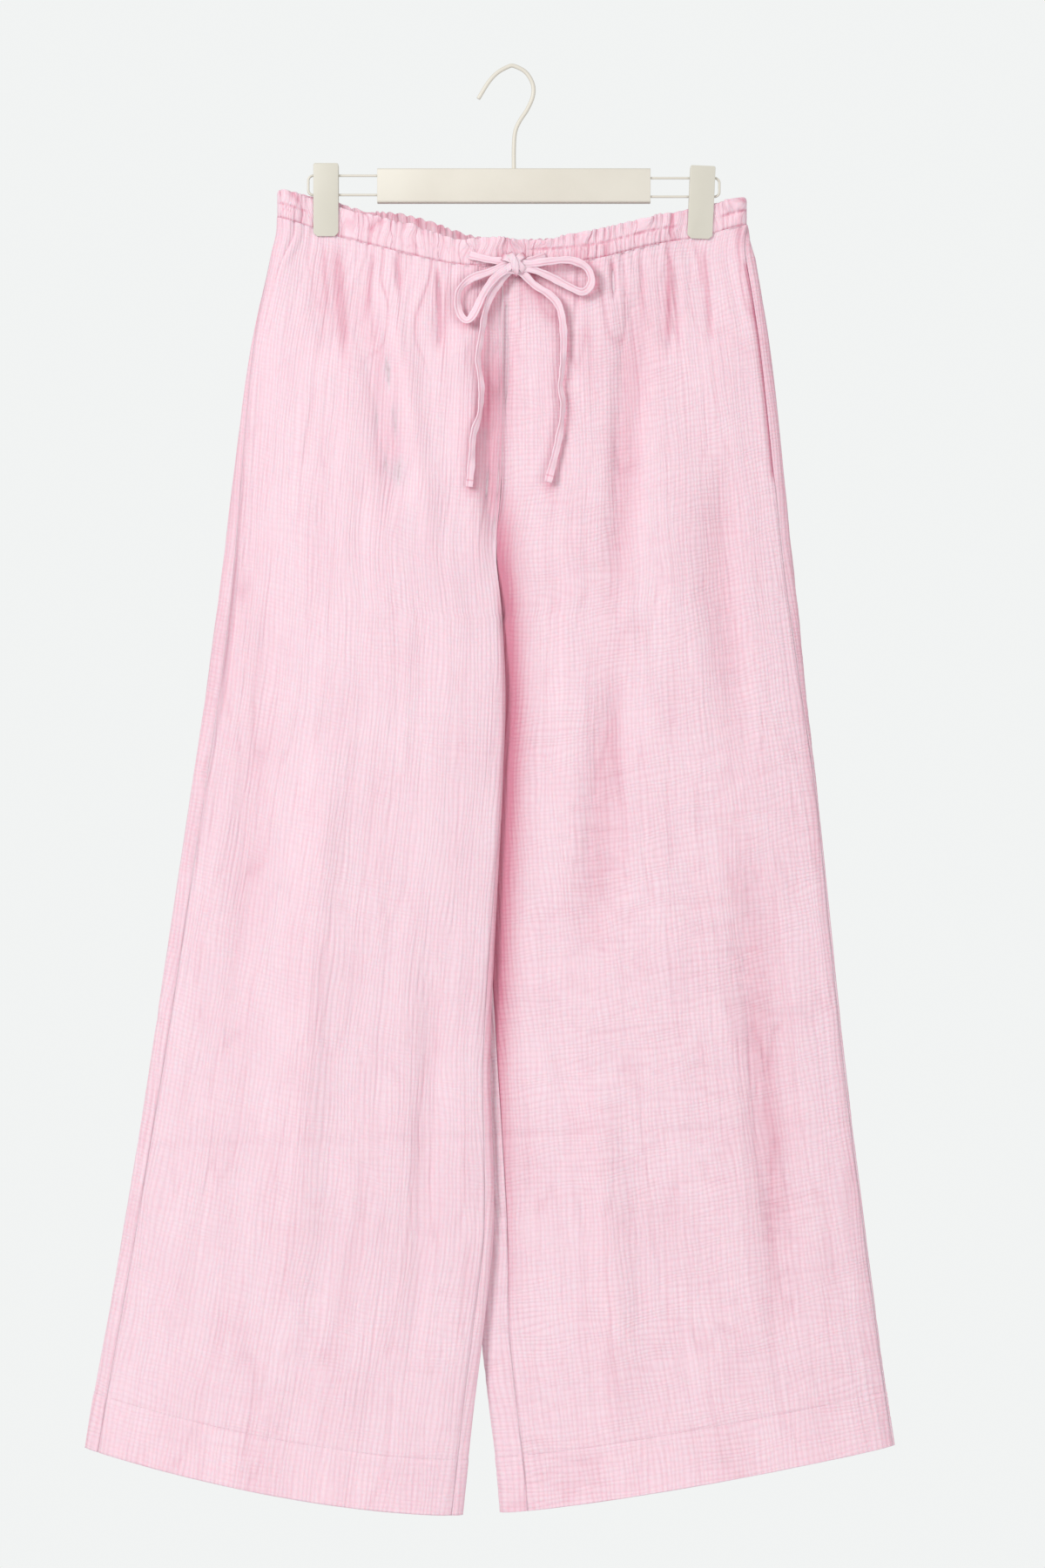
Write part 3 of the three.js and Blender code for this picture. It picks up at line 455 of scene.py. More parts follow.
def outline_at(rows, number, at):
    """A column of a table read at any height, as a smooth curve through its rows."""
    keys = rows[:, 0]
    values = rows[:, number]
    if keys[0] > keys[-1]:
        keys, values = keys[::-1], values[::-1]
    slopes = np.empty(len(keys))
    slopes[1:-1] = (values[2:] - values[:-2]) / (keys[2:] - keys[:-2])
    slopes[0] = (values[1] - values[0]) / (keys[1] - keys[0])
    slopes[-1] = (values[-1] - values[-2]) / (keys[-1] - keys[-2])
    i = np.clip(np.searchsorted(keys, at, side="right") - 1, 0, len(keys) - 2)
    span = keys[i + 1] - keys[i]
    t = (at - keys[i]) / span
    rise = values[i] + (values[i + 1] - values[i]) * t * t * (3 - 2 * t)
    return rise + t * (1 - t) ** 2 * span * slopes[i] - t * t * (1 - t) * span * slopes[i + 1]


def waist_end(x):
    return np.where(x < 0, -WAIST_RIGHT, WAIST_LEFT)


def waist_depth(x):
    out = np.abs(x)
    bulge = 12 * (1 - np.minimum(1, out / 138) ** 2)
    flare = 2.8 * ease(CLIP_PLACE + CLIP_HOLD, 184, out)
    return (1.8 + bulge + flare) * np.sqrt(np.maximum(0, 1 - (out / waist_end(x)) ** 60))


def waist_seam(x, lift):
    """The height of the seam under the waistband, which sags between the clips."""
    t = np.clip(np.abs(x) / waist_end(x), 0, 1)
    uneven = 3.6 * bell(x - 112, 34) - 3.2 * bell(x + 46, 38)
    return -126 - 3 * x / WAIST_LEFT - 36.5 * (1 - t * t) ** 1.2 + lift * 4 * (1 - t * t) + uneven


def held_by_clip(x):
    return 1 - ease(CLIP_HOLD, CLIP_HOLD + 9, np.abs(np.abs(x) - CLIP_PLACE))


def wander(across, down, seed):
    """Smooth random heights between -1 and 1, about one swell for each unit both ways."""
    table = np.random.default_rng(seed).uniform(-1, 1, (97, 89))
    i = np.floor(across).astype(int)
    j = np.floor(down).astype(int)
    s = across - i
    t = down - j
    s = s * s * s * (s * (6 * s - 15) + 10)
    t = t * t * t * (t * (6 * t - 15) + 10)
    near = table[i % 97, j % 89] * (1 - s) + table[(i + 1) % 97, j % 89] * s
    far = table[i % 97, (j + 1) % 89] * (1 - s) + table[(i + 1) % 97, (j + 1) % 89] * s
    return near * (1 - t) + far * t


def creases(across, down, seed, sharpness):
    """Narrow wandering lines, 1 along each line and 0 between them."""
    return (1 - np.minimum(1, np.abs(wander(across, down, seed)) * sharpness)) ** 2


def leg_surface(name, is_back, q, v):
    """The hanging leg: q goes once round it from its outer edge, v goes from waist to hem."""
    leg = LEGS[name]
    q = np.mod(q, 2)
    s = (1 - np.cos(np.pi * q)) / 2
    back = np.where((q > 1) | (q == 1) & is_back, 1.0, 0.0)
    waist_x = leg["waist"] + (MIDDLE_SEAM - leg["waist"]) * s
    lift = back * np.clip(1 - v / CROTCH, 0, 1)
    outer_hem, inner_hem, bend = leg["hem"]
    hem_z = outer_hem + (inner_hem - outer_hem) * (1 - (1 - s) ** bend)
    z = waist_seam(waist_x, lift) * (1 - v) + hem_z * v
    above = np.maximum(0, CROTCH - v) * LEG_LENGTH
    opened = np.sqrt(np.maximum(0, 1 - (1 - np.minimum(1, above / CROTCH_ROUND)) ** 2))
    margin = 0.15 * np.ones_like(v)
    if name == "left":
        margin = margin - 3.5 * ease(CROTCH - 0.035, CROTCH + 0.01, v)
    outer_x = outline_at(LEG_OUTLINE, leg["outer"], z) - leg["side"] * WALL / 2
    inner_x = outline_at(LEG_OUTLINE, leg["inner"], z) + leg["side"] * margin
    at_waist = 1 - ease(0, 0.03, v)
    outer_x = outer_x + (leg["waist"] - outer_x) * at_waist
    x = outer_x + (inner_x - outer_x) * s
    middle = outline_at(LEG_DEPTHS, 1, v)
    edge = outline_at(LEG_DEPTHS, 2, v)
    outer_round = np.sqrt(np.maximum(0, 1 - (1 - s) ** EDGE_POWER))
    inner_round = np.sqrt(np.maximum(0, 1 - (1 - opened ** 2) * s ** EDGE_POWER))
    joined = ease(0, CROTCH * 0.9, CROTCH - v)
    bulge = np.sin(np.pi * s) * (1 - joined) + np.sin(np.pi * s / 2) * joined
    hanging = edge * outer_round * inner_round + (middle - edge) * bulge
    near_waist = 1 - ease(0, 0.12, v)
    depth = hanging + (waist_depth(waist_x) - hanging) * near_waist
    forward = leg["forward"] * s * s * ease(CROTCH - 0.075, CROTCH + 0.06, v)
    y = (2 * back - 1) * depth - forward
    return np.stack([x, y, z], axis=-1)


def fold_heights(table, points, faces_back, leg_name):
    """How high each point stands by the folds of a table, each with soft ends and a bell's section."""
    x = points[..., 0]
    z = points[..., 2]
    heights = np.zeros(x.shape)
    for (face, leg), folds in table.items():
        if leg not in ("both", leg_name):
            continue
        on_face = faces_back if face == "back" else ~faces_back
        for x0, z0, xm, zm, x1, z1, width, depth in folds:
            t = np.clip((z0 - z) / (z0 - z1), 0, 1)
            path = np.interp(t, [0, (z0 - zm) / (z0 - z1), 1], [x0, xm, x1])
            ends = ease(0, 0.25, t) * (1 - ease(0.6, 1, t))
            heights += FOLD_DEPTH * depth * bell(x - path, width) * ends * on_face
    return heights


def shade_of_ties(surface):
    """How much of each point lies in the pink shade that the hanging ties throw to their right."""
    nearest = np.full(surface.shape[:2], 99.0)
    for place in np.vstack([tie_right_path, tie_left_path])[::4]:
        from_tie = np.hypot(surface[..., 0] - place[0] - 2, surface[..., 2] - place[2] + 1)
        nearest = np.minimum(nearest, from_tie)
    return bell(nearest, 6)


def seam_places(name, v):
    """Where the side seam and the inside seam run on the front, as places round the leg."""
    leg = LEGS[name]
    height = -150 - v * LEG_LENGTH
    outer_x = outline_at(LEG_OUTLINE, leg["outer"], height)
    width = np.abs(outer_x - outline_at(LEG_OUTLINE, leg["inner"], height))
    top, low, start, end = leg["inset"]
    side_inset = top + (low - top) * ease(start, end, v)
    side_inset = side_inset * (1 - leg["slip"] * ease(0.25, 0.5, v))
    side = np.arccos(1 - 2 * side_inset / width) / np.pi
    inner_inset = leg["inner_inset"] * ease(CROTCH + 0.01, 0.9, v)
    inner = 1 - np.arccos(1 - 2 * inner_inset / width) / np.pi
    return side, np.where(v < CROTCH, 1.0, inner)


def panel_span(name, is_back, v):
    """Where a panel starts and ends, as places round the leg."""
    side, inner = seam_places(name, v)
    return (inner, 2 + side) if is_back else (side, inner)


def leg_grid(name, is_back, columns, rows):
    """Points over a panel, closer at waist and hem: places round the leg and shares down it."""
    shares = np.linspace(0, 1, 2000)
    crowding = 1 + 2.2 * (1 - ease(0.05, 0.1, shares)) + 2.2 * ease(0.943, 0.957, shares)
    v = np.interp(np.linspace(0, 1, rows), np.cumsum(crowding) / crowding.sum(), shares)
    v[0] = 0
    start, end = panel_span(name, is_back, v)
    q = np.empty((rows, columns))
    dense = np.linspace(0, 1, 160)
    for i in range(rows):
        places = start[i] + (end[i] - start[i]) * dense
        line = leg_surface(name, is_back, places, np.full_like(places, v[i]))
        run = run_along(line)
        q[i] = np.interp(np.linspace(0, run[-1], columns), run, places)
    q[:, 0] = start
    q[:, -1] = end
    return q, np.repeat(v[:, None], columns, axis=1)


def outward(name, is_back, q, v):
    """The direction that the plain hanging form faces at each point."""
    step = 0.002
    over_crotch = v < CROTCH
    low = np.where(over_crotch & is_back, np.maximum(1, q - step), q - step)
    high = np.where(over_crotch & (not is_back), np.minimum(1, q + step), q + step)
    across = leg_surface(name, is_back, high, v) - leg_surface(name, is_back, low, v)
    below = leg_surface(name, is_back, q, v + step)
    normal = np.cross(below - leg_surface(name, is_back, q, np.maximum(0, v - step)), across)
    return -LEGS[name]["side"] * normal / np.linalg.norm(normal, axis=-1)[..., None]


HEM_DEPTH = 46.0
STORED_CREASE = -873.0
PANEL_WIDTH = 250
# How strong the painted shade of the creases is on the inside of the cloth, as a share of the outside's
INSIDE_SHADE_SHARE = 0.5
# Leg, whether it is the back, columns, rows, how many rows and columns of the outside one of the
# inside spans, how much of the crinkle runs across, and the seed of its random tables
PANELS = {
    "front_right_leg": ("right", False, 301, 257, (8, 6), 0.10, 11),
    "front_left_leg": ("left", False, 193, 401, (10, 6), 0.75, 23),
    "back_right_leg": ("right", True, 301, 257, (8, 6), 0.25, 37),
    "back_left_leg": ("left", True, 193, 401, (10, 6), 0.6, 53),
}


def gathers(name, v, s, down, seed):
    """What the elastic takes up: full waves sharp at the waist, and the narrow tucks between them."""
    waist = LEGS[name]["waist"]
    waist_x = waist + (MIDDLE_SEAM - waist) * s
    turn = np.abs(waist_x - waist) / np.abs(MIDDLE_SEAM - waist) * WAIST_WAVES[name]
    turn = 0.62 * turn + 0.9 * wander(turn * 0.4 + 7, down / 60, seed + 1)
    swell = 0.75 + 0.5 * wander(turn * 0.45, down / 45, seed + 2)
    free = 1 - 0.65 * held_by_clip(waist_x)
    sharp = 0.6 + 0.7 * (1 - ease(0, 0.03, v))
    waves = sharp * humps(turn) * swell * free * (1 - ease(0, 0.11, v))
    tucks = creases(turn * 0.55 + 31, down / 140, seed + 3, 5.5) * (1 - ease(0.02, 0.14, v)) * free
    return waves, tucks


def crinkle(across, down, v, folds, crosswise, seed):
    """The depth of the crinkle: long lines and ribs down the cloth, and shorter lines across it."""
    drift = 2.6 * wander(across / 40, down / 130, seed + 4) + 0.8 * wander(across / 9, down / 28, seed + 5)
    lines = creases((across + drift) / 8 + 13, down / 120 + 5, seed + 6, 4.2)
    rib_phase = (across + 1.2 * drift) / 4.7 + 0.9 * wander(across / 11 + 41, down / 110, seed + 7)
    rib_strength = 0.4 + 0.9 * wander(rib_phase * 0.83, down / 100, seed + 16)
    ribs = humps(rib_phase) ** 3 * np.maximum(0, rib_strength)
    strength = 0.62 + 0.5 * wander(across / 38 + 3, down / 150, seed + 8)
    cross_drift = 0.12 * across + 2.2 * wander(across / 45, down / 50, seed + 9)
    cross_lines = creases(across / 42 + 17, (down + cross_drift) / 5.6, seed + 10, 2.8)
    patches = np.clip(0.55 + 0.7 * wander(across / 55 + 9, down / 120, seed + 12), 0, 1)
    crosswise = crosswise * (0.4 + 0.6 * ease(0.1, 0.35, v)) + 0.45 * ease(0.5, 0.85, v)
    cross_lines = 0.5 * np.clip(crosswise, 0, 1) * patches * cross_lines
    folded = 1 + 0.7 * np.clip(-folds / 5, 0, 1)
    return folded * (strength * 0.55 * lines + 0.38 * ribs + cross_lines)


def panel_relief(name, is_back, crosswise, seed, q, v, surface):
    """How far each point stands out from the plain hanging form, and how much painted shade of deeper pink
    it gets.
    """
    share = np.repeat(np.linspace(0, 1, q.shape[1])[None, :], q.shape[0], axis=0)
    across = share * PANEL_WIDTH
    down = v * LEG_LENGTH
    s = (1 - np.cos(np.pi * q)) / 2
    x, y, z = np.moveaxis(surface, -1, 0)
    right_leg = name == "right"
    faces_back = (q > 1) & (q < 2) | (q == 1) & is_back
    folds = fold_heights(FOLDS, surface, faces_back, name)
    narrow = fold_heights(CREASES, surface, faces_back, name)
    deepest = -0.5 * np.maximum(0, np.abs(y) - 3)
    edges = ease(0, 0.06, s) * np.where(v < CROTCH, 1, ease(0, 0.06, 1 - s))
    near_crotch = np.where(v < CROTCH, ease(0, 0.08, CROTCH - v + 0.6 * (1 - s)), 1)
    height = np.maximum(deepest, folds * ease(0, 0.05, v) + narrow) * edges * near_crotch
    waves, tucks = gathers(name, v, s, down, seed)
    deep = crinkle(across, down, v, folds, crosswise, seed)
    swells = 0.7 * wander(across / 17 + 3, down / 210, seed + 13)
    swells = swells + 0.3 * wander(across / 9, down / 80, seed + 14)
    hem_start = 1 - HEM_DEPTH / LEG_LENGTH
    swells = swells * (1 - 0.5 * ease(hem_start - 0.02, hem_start, v))
    height = height + waves - 0.8 * tucks + swells - deep

    # A faint crease across both legs, where they were folded for storing
    pressed = bell(z - STORED_CREASE - 0.03 * x, 2.4)
    pressed = pressed * (0.7 + 0.5 * wander(across / 21, down * 0 + 1, seed + 17))
    height = height - 0.45 * pressed

    # Hem: the turned-up edge is a little fuller, and its stitches draw the cloth in
    from_hem = (1 - v) * LEG_LENGTH
    pull = 0.7 + 0.5 * wander(across / 3.5, from_hem * 0 + 3, seed + 15)
    height = height + 0.5 * (1 - ease(HEM_DEPTH - 2, HEM_DEPTH, from_hem))
    height = height - 0.4 * bell(from_hem - HEM_DEPTH, 1.6) * pull

    # Seams: the two edges roll in to each other, and the left pocket's mouth is a slit in one
    run = share * np.linalg.norm(np.diff(surface, axis=1), axis=-1).sum(axis=1)[:, None]
    width = run[:, -1:]
    seam = bell(run, 1.5) + bell(width - run, 1.5)
    height = height * (1 - np.minimum(1, seam))
    at_side = run > width / 2 if is_back else run < width / 2
    seam = seam * (1 - 0.85 * at_side * ease(0.3, 0.4, v) * (not right_leg))
    outer_edge = ease(0.19, 0.23, v) * ease(width / 2 - 1, width / 2 + 1, run) * (1 - ease(0.5, 0.6, v))
    seam_tone = seam * (1 - outer_edge * (right_leg and not is_back))
    pocket = ease(-345, -330, z) * (1 - ease(-165, -155, z))
    mouth = bell(run, 3.2) * pocket * (not right_leg and not is_back)
    height = height - 0.45 * seam - 1.4 * mouth

    # Painted shade: deeper pink in every crease, tuck, trough and crinkle, in the pocket's slit and the
    # stored crease, and at the outer edges and the right leg's rolled inner edge; seams get a darker line
    # too
    trough_shade = np.clip(-folds / 7, 0, 1) * (0.45 if right_leg else 1)
    edge_shade = (1 - ease(0, 0.045, s)) * (1 - 0.6 * ease(0.4, 0.6, v))
    inner_shade = ease(0.975, 1, s) * ease(CROTCH - 0.04, CROTCH, v) * (1 - 0.8 * ease(0.6, 0.85, v))
    depth = 0.22 * deep + 0.4 * tucks + 0.12 * seam_tone + 0.7 * mouth + 0.26 * trough_shade
    depth = depth + 0.42 * np.clip(-narrow / 3.2, 0, 1) + 0.08 * pressed
    depth = depth + (0.12 if right_leg else 0.3) * edge_shade + 0.55 * inner_shade * right_leg
    # Painted shadow that the right leg's inner edge throws on the left leg's front, deepest beside that
    # edge, over a shallow hollow in the cloth
    if not right_leg and not is_back:
        beside = x - outline_at(LEG_OUTLINE, LEGS["right"]["inner"], z)
        hollow_and_shadow = bell(np.maximum(0, beside), 15.5) * ease(0.17, 0.25, v)
        height = height - 1.5 * hollow_and_shadow * ease(0.3, 0.36, v)
        depth = depth + 1.1 * hollow_and_shadow * (1 - 0.45 * ease(0.5, 0.8, v))
    # Painted shadow of the hanging ties on the front, thrown to their lower right
    if not is_back:
        depth = depth + 0.5 * shade_of_ties(surface)
    return height, np.clip(depth, 0, 1), across, down


def shell_faces(rows, columns, every_row, every_column):
    """Faces of a closed thin shell: a fine outside, a coarser inside and a rim that joins them."""
    grid = np.arange(rows * columns).reshape(rows, columns)
    inner = grid[::every_row, ::every_column]
    inner = grid.size + np.arange(inner.size).reshape(inner.shape)
    faces = quads(grid) + quads(inner.T)
    rims = [
        (grid[0], inner[0], every_column),
        (grid[-1, ::-1], inner[-1, ::-1], every_column),
        (grid[::-1, 0], inner[::-1, 0], every_row),
        (grid[:, -1], inner[:, -1], every_row),
    ]
    for fine, coarse, every in rims:
        for i in range(len(coarse) - 1):
            along = fine[i * every:(i + 1) * every + 1].tolist()
            faces.append(along[::-1] + coarse[i:i + 2].tolist())
    return faces


def add_shell(name, node, outside, inside, every, material, leg):
    """A closed shell of cloth from two equal grids, of which the inside is thinned out. Each is
    given as its points, their places across and down the flat cut, and their painted shade."""
    joined = []
    for fine, coarse in zip(outside, inside):
        coarse = coarse[::every[0], ::every[1]]
        joined.append(np.concatenate([grid.reshape(-1, *grid.shape[2:]) for grid in (fine, coarse)]))
    points, across, down, painted_shades = joined
    faces = shell_faces(*outside[1].shape, *every)
    piece = mesh_piece(name, points, faces, material, flipped=leg == "right")
    finish_cloth(piece, across, down, painted_shades, node)
    return piece


for node, (name, is_back, columns, rows, every, crosswise, seed) in PANELS.items():
    q, v = leg_grid(name, is_back, columns, rows)
    surface = leg_surface(name, is_back, q, v)
    normal = outward(name, is_back, q, v)
    height, depth, across, down = panel_relief(name, is_back, crosswise, seed, q, v, surface)
    outside = surface + normal * (height + WALL / 2)[..., None]
    inside = surface + normal * (np.minimum(height, 0.9 * height) - WALL * 0.75)[..., None]
    material = gauze_material(f"{node}_gauze", 0.75, 0.5 + 0.7 * crosswise)
    piece = add_shell(node + "_cloth", node, (outside, across, down, depth),
                      (inside, across, down, INSIDE_SHADE_SHARE * depth), every, material, name)

# Stitches: single rows of thread along the turned-up hems, a little paler than the cloth.
# Each stitch is a short raised thread whose ends dip in to the cloth.
STITCH = 2.6
STITCH_PITCH = 3.5
STITCH_SHARES = np.array([0, 0.12, 0.5, 0.88, 1])
STITCH_RISES = np.array([-0.25, 0.15, 0.3, 0.15, -0.25])
THREAD = 0.24


def arc(across, up, radius, first, last, count):
    """Points on a circle round a middle, from one angle in degrees to another."""
    angles = np.radians(np.linspace(first, last, count))
    return np.stack([across + radius * np.cos(angles), up + radius * np.sin(angles)], axis=1).tolist()


def round_section(radius, sides):
    return np.array(arc(0, 0, radius, 0, 360, sides + 1)[:-1])


def hem_line(name, is_back):
    """Points along one hem's stitches, and the directions that the cloth faces there."""
    v = np.full(260, 1 - HEM_DEPTH / LEG_LENGTH)
    start, end = panel_span(name, is_back, v[:1])
    q = np.linspace(start[0] + 0.01, end[0] - 0.01, len(v))
    normal = outward(name, is_back, q, v)
    return leg_surface(name, is_back, q, v) + normal * (WALL / 2 - 0.1), normal


thread_section = round_section(THREAD, 6)
stitches = []
for name, is_back, *_ in PANELS.values():
    hem_points, hem_normals = hem_line(name, is_back)
    run = run_along(hem_points)
    for start in np.arange(STITCH_PITCH / 2, run[-1] - STITCH, STITCH_PITCH):
        places = start + STITCH * STITCH_SHARES
        line = read_along(places, run, hem_points)
        out = read_along(places, run, hem_normals)
        out /= np.linalg.norm(out, axis=1)[:, None]
        side = np.cross((line[-1] - line[0]) / np.linalg.norm(line[-1] - line[0]), out)
        thread = thread_section[:, :1] * side[:, None] + thread_section[:, 1:] * out[:, None]
        stitches.append((line + out * STITCH_RISES[:, None])[:, None] + thread)
hem_stitches, stitch_points = swept_group("hem_stitches", stitches, tie_gauze)
finish_cloth(hem_stitches, stitch_points[:, 0], stitch_points[:, 2], 0.1)

# Waistband: an elastic casing with a gathered heading above it, front and back, of the same
# double gauze folded over. The elastic draws it into uneven puckers, and the heading flops over
# on itself here and there.
CASING = 12.0
BAND_FOOT = -0.8
BAND_TOP = 23.2
BAND_COLUMNS = 820
BAND_WALL_HALF = 1.1
# Where the heading has folded over on itself: place, lean sideways, and how far it comes forward
FRONT_FLAPS = [(-86, 5, 2), (-33, -5, 1.8), (-13, 4, 2.2), (4, -4, 2.8), (22, 3, 1.6), (58, 4, 1.5),
               (107, 4, 1.4), (178, -3, 2.6)]
BACK_FLAPS = [(-120, 4, 1.5), (60, -5, 1.6), (140, 4, 1.4)]
# How much narrower each band is, how close its gathers are, how full its heading is and how
# scalloped its top, and how much higher it is sewn on
FRONT_BAND = (0, 0.9, 0.9, 0.9, 0.0)
BACK_BAND = (1.2, 0.8, 1.4, 2.2, 1.0)
band_gauze = gauze_material("waistband_gauze", 0.6, 0.15)


def arch(share, fullness):
    """A round rise from 0 and back to 0 as the share goes from 0 to 1."""
    return np.sin(math.pi * np.clip(share, 0, 1)) ** fullness


def heading_rise(x, is_back):
    """How much higher the heading stands than it would if it were even."""
    if is_back:
        return -4.0 + 11 * bell(x + 80, 46) + 4 * ease(120, 150, np.abs(x))
    return -4.2 * bell(x + 43, 17) - 3.8 * bell(x - 20, 26)


def add_waistband(node, is_back, flaps, seed):
    """One face of the band: columns along the waist, rows up its outside and down its inside."""
    outside_up = np.linspace(BAND_FOOT, BAND_TOP, 37)
    cap = np.linspace(0, math.pi, 7)[1:-1]
    inside_up = np.linspace(BAND_TOP, BAND_FOOT, 13)
    up = np.concatenate([outside_up, BAND_TOP + 0.8 * np.sin(cap), inside_up])
    side = np.concatenate([np.ones(len(outside_up)), np.cos(cap), -np.ones(len(inside_up))])
    narrower, closeness, fullness, scalloped, lift = BACK_BAND if is_back else FRONT_BAND
    x = np.linspace(WAIST_RIGHT + narrower, WAIST_LEFT - narrower, BAND_COLUMNS)
    x, up = np.meshgrid(x, up)
    side = np.repeat(side[:, None], BAND_COLUMNS, axis=1)
    from_end = np.minimum(x - x.min(), x.max() - x)
    right = x < MIDDLE_SEAM
    end = np.where(right, WAIST_RIGHT, WAIST_LEFT)
    waves = np.where(right, WAIST_WAVES["right"], WAIST_WAVES["left"])
    turn = np.abs(x - end) / np.abs(MIDDLE_SEAM - end) * waves + np.where(right, 0, 40)
    turn = closeness * turn + 0.8 * wander(turn * 0.5 + 7, up / 22, seed)
    wave = humps(turn)
    lobe = np.sqrt(wave)
    free = 1 - 0.75 * held_by_clip(x)
    heading = ease(CASING, BAND_TOP, up)
    low = 1 - ease(CASING - 2, CASING + 2, up)
    swell = 0.6 + 0.8 * np.abs(wander(turn * 0.6, up / 20, seed + 1))

    # The casing shows as a row of small puckers on the wearer's left and at both ends
    shown = ease(8, 24, x) * (1 - ease(118, 146, x)) + ease(166, 174, np.abs(x))
    shown = 0.8 + 0 * x if is_back else 0.12 + 0.88 * shown
    stand = 0.9 * arch(up / CASING, 0.6) * shown
    stand = stand + 0.8 * arch((up + 1) / (BAND_TOP + 1), 0.6) * (1 - shown)
    puckers = humps(x / 3.6 + 0.9 * wander(x / 9, up / 26, seed + 8))
    stand = stand + 0.8 * low * shown * puckers * (0.6 + 0.5 * wander(x / 7, up / 30, seed + 9))
    if not is_back:
        roll = ease(168, 174, x) * arch((up - CASING) / (BAND_TOP - CASING), 0.7)
        stand = stand + 2.6 * roll * (0.7 + 0.5 * wander(x / 4, up / 8, seed + 11))

    # Gathers of the heading, its wandering creases, and the stitches and the seam that pull in
    stand = stand + fullness * heading * lobe * swell + 0.6 * wave * swell
    stand = stand + 0.5 * wander(x / 14, up / 30, seed + 4)
    pucker = creases(x / 6.5 + 31 + 0.25 * wander(x / 15, up / 9, seed + 7), up / 60, seed + 2, 5)
    small = creases(x / 3.1 + 55, up / 14, seed + 3, 3)
    pull = 0.5 + 0.5 * wave + 0.4 * wander(x / 2.5, up * 0 + 2, seed + 5)
    stitched = bell(up - CASING, 1.1) * shown * pull
    at_seam = bell(up - 0.2, 0.9)
    stand = stand - 1.2 * pucker - 0.3 * small - 1.7 * stitched - 1.4 * at_seam
    lean = 0.7 * heading * wander(turn * 0.8 + 3, up / 30, seed + 6)
    for place, sideways, forward in flaps:
        near = bell(x - place, 5) * heading
        lean = lean + sideways * near
        stand = stand + forward * near
    stand = np.maximum(-0.8, stand * free + 0.1)

    # Its two walls come together at both ends, and its top is scalloped and a little ragged
    ends = np.sqrt(np.maximum(0, 1 - (1 - np.minimum(1, from_end / 5)) ** 2))
    half = (BAND_WALL_HALF - 0.2 * heading) * side
    half = np.where((side < 0) & (up < 0.5), -0.6, half) * (0.25 + 0.75 * ends)
    middle = (waist_depth(x) + 0.15) * ends + 0.35 * (1 - ends)
    y = middle + stand * np.where(side < 0, 0.8, 1) * ends + half
    scallop = scalloped * (lobe - 0.6) * heading * free
    ragged = 0.6 * wander(turn * 0.5 + 9, up * 0 + 5, seed + 7) * heading
    round_corner = 4.5 * (1 - ends) * heading
    beaded = 0.35 * wander(x / 1.7, up * 0 + 7, seed + 10) * (1 - ease(0, 4, up))
    z = waist_seam(x, lift) + up + scallop + ragged - round_corner + beaded
    z = z + heading_rise(x, is_back) * heading
    leaning_x = x + lean * ease(0, 12, from_end)
    points = np.stack([leaning_x, y if is_back else -y, z], axis=-1).reshape(-1, 3)
    grid = np.arange(x.size).reshape(x.shape)
    faces = quads(np.vstack([grid, grid[:1]])) + [grid[:, 0].tolist(), grid[::-1, -1].tolist()]
    piece = mesh_piece(node + "_cloth", points, faces, band_gauze, flipped=is_back)

    # Painted shade: deeper pink in the troughs between the gathers, lobes and puckers, and all over the
    # back band, more on its heading; the casing stitches and the seam get a darker line too
    deep = 0.35 * (1 - lobe) ** 2 * heading + 0.5 * pucker + 0.12 * small
    deep = deep + 0.3 * (1 - lobe) ** 2 * (1 - heading) * (1 - shown)
    deep = deep + 0.5 * stitched + 0.5 * at_seam + 0.3 * low * shown * (1 - puckers) ** 2
    deep = deep + (0.14 * heading + 0.04 if is_back else 0.0)
    finish_cloth(piece, turn * 12, up, deep, node)


add_waistband("waistband_front", False, FRONT_FLAPS, 71)
add_waistband("waistband_back", True, BACK_FLAPS, 83)

# Pockets: flat bags of the same gauze, sewn into the side seams and hanging inside the legs.
# Each is a thin closed shell with a round lower corner, flat against the front at its seam
# and loose towards its other edge. Its top, foot, reach and seam are shares of the leg.
POCKET_TOP = 0.045
POCKET_FOOT = 0.24
POCKET_REACH = 0.62
POCKET_SEAM = 0.08
POCKET_WALL = 1.4
POCKET_BEHIND = WALL / 2 + 0.3 + POCKET_WALL / 2 + 1.2
POCKET_GRID = (61, 49)
POCKET_CUT = (130, 200)
# How much deeper pink the pockets are all over
POCKET_DEEPER_PINK = 0.2


def add_pocket(node, name, seed):
    rows, columns = POCKET_GRID
    across, down = np.meshgrid(np.linspace(0, 1, columns), np.linspace(0, 1, rows))
    v = POCKET_TOP + (POCKET_FOOT - POCKET_TOP) * down
    start = seam_places(name, v)[0] + POCKET_SEAM
    rounded = np.sqrt(1 - (2 * np.clip(down, 0.5, 0.97) - 1) ** 2)
    reach = POCKET_REACH * (0.75 + 0.25 * ease(0, 0.5, down)) * rounded
    q = start + (np.maximum(start + 0.1, reach) - start) * across
    surface = leg_surface(name, False, q, v)
    sewn = surface - outward(name, False, q, v) * POCKET_BEHIND
    loose = surface * np.array([1, 0.3, 1])
    hang = ease(0, 0.3, across)[..., None]
    middle = sewn * (1 - hang) + loose * hang
    middle[..., 1] += 0.5 * wander(across * 6 + 4, down * 5, seed) * hang[..., 0]
    thick = np.array([0, POCKET_WALL / 2, 0])
    cut = (across * POCKET_CUT[0], down * POCKET_CUT[1], np.full(across.shape, POCKET_DEEPER_PINK))
    piece = add_shell(node + "_bag", node, (middle - thick, *cut), (middle + thick, *cut), (4, 4),
                      band_gauze, name)


add_pocket("pocket_left", "left", 91)
add_pocket("pocket_right", "right", 97)

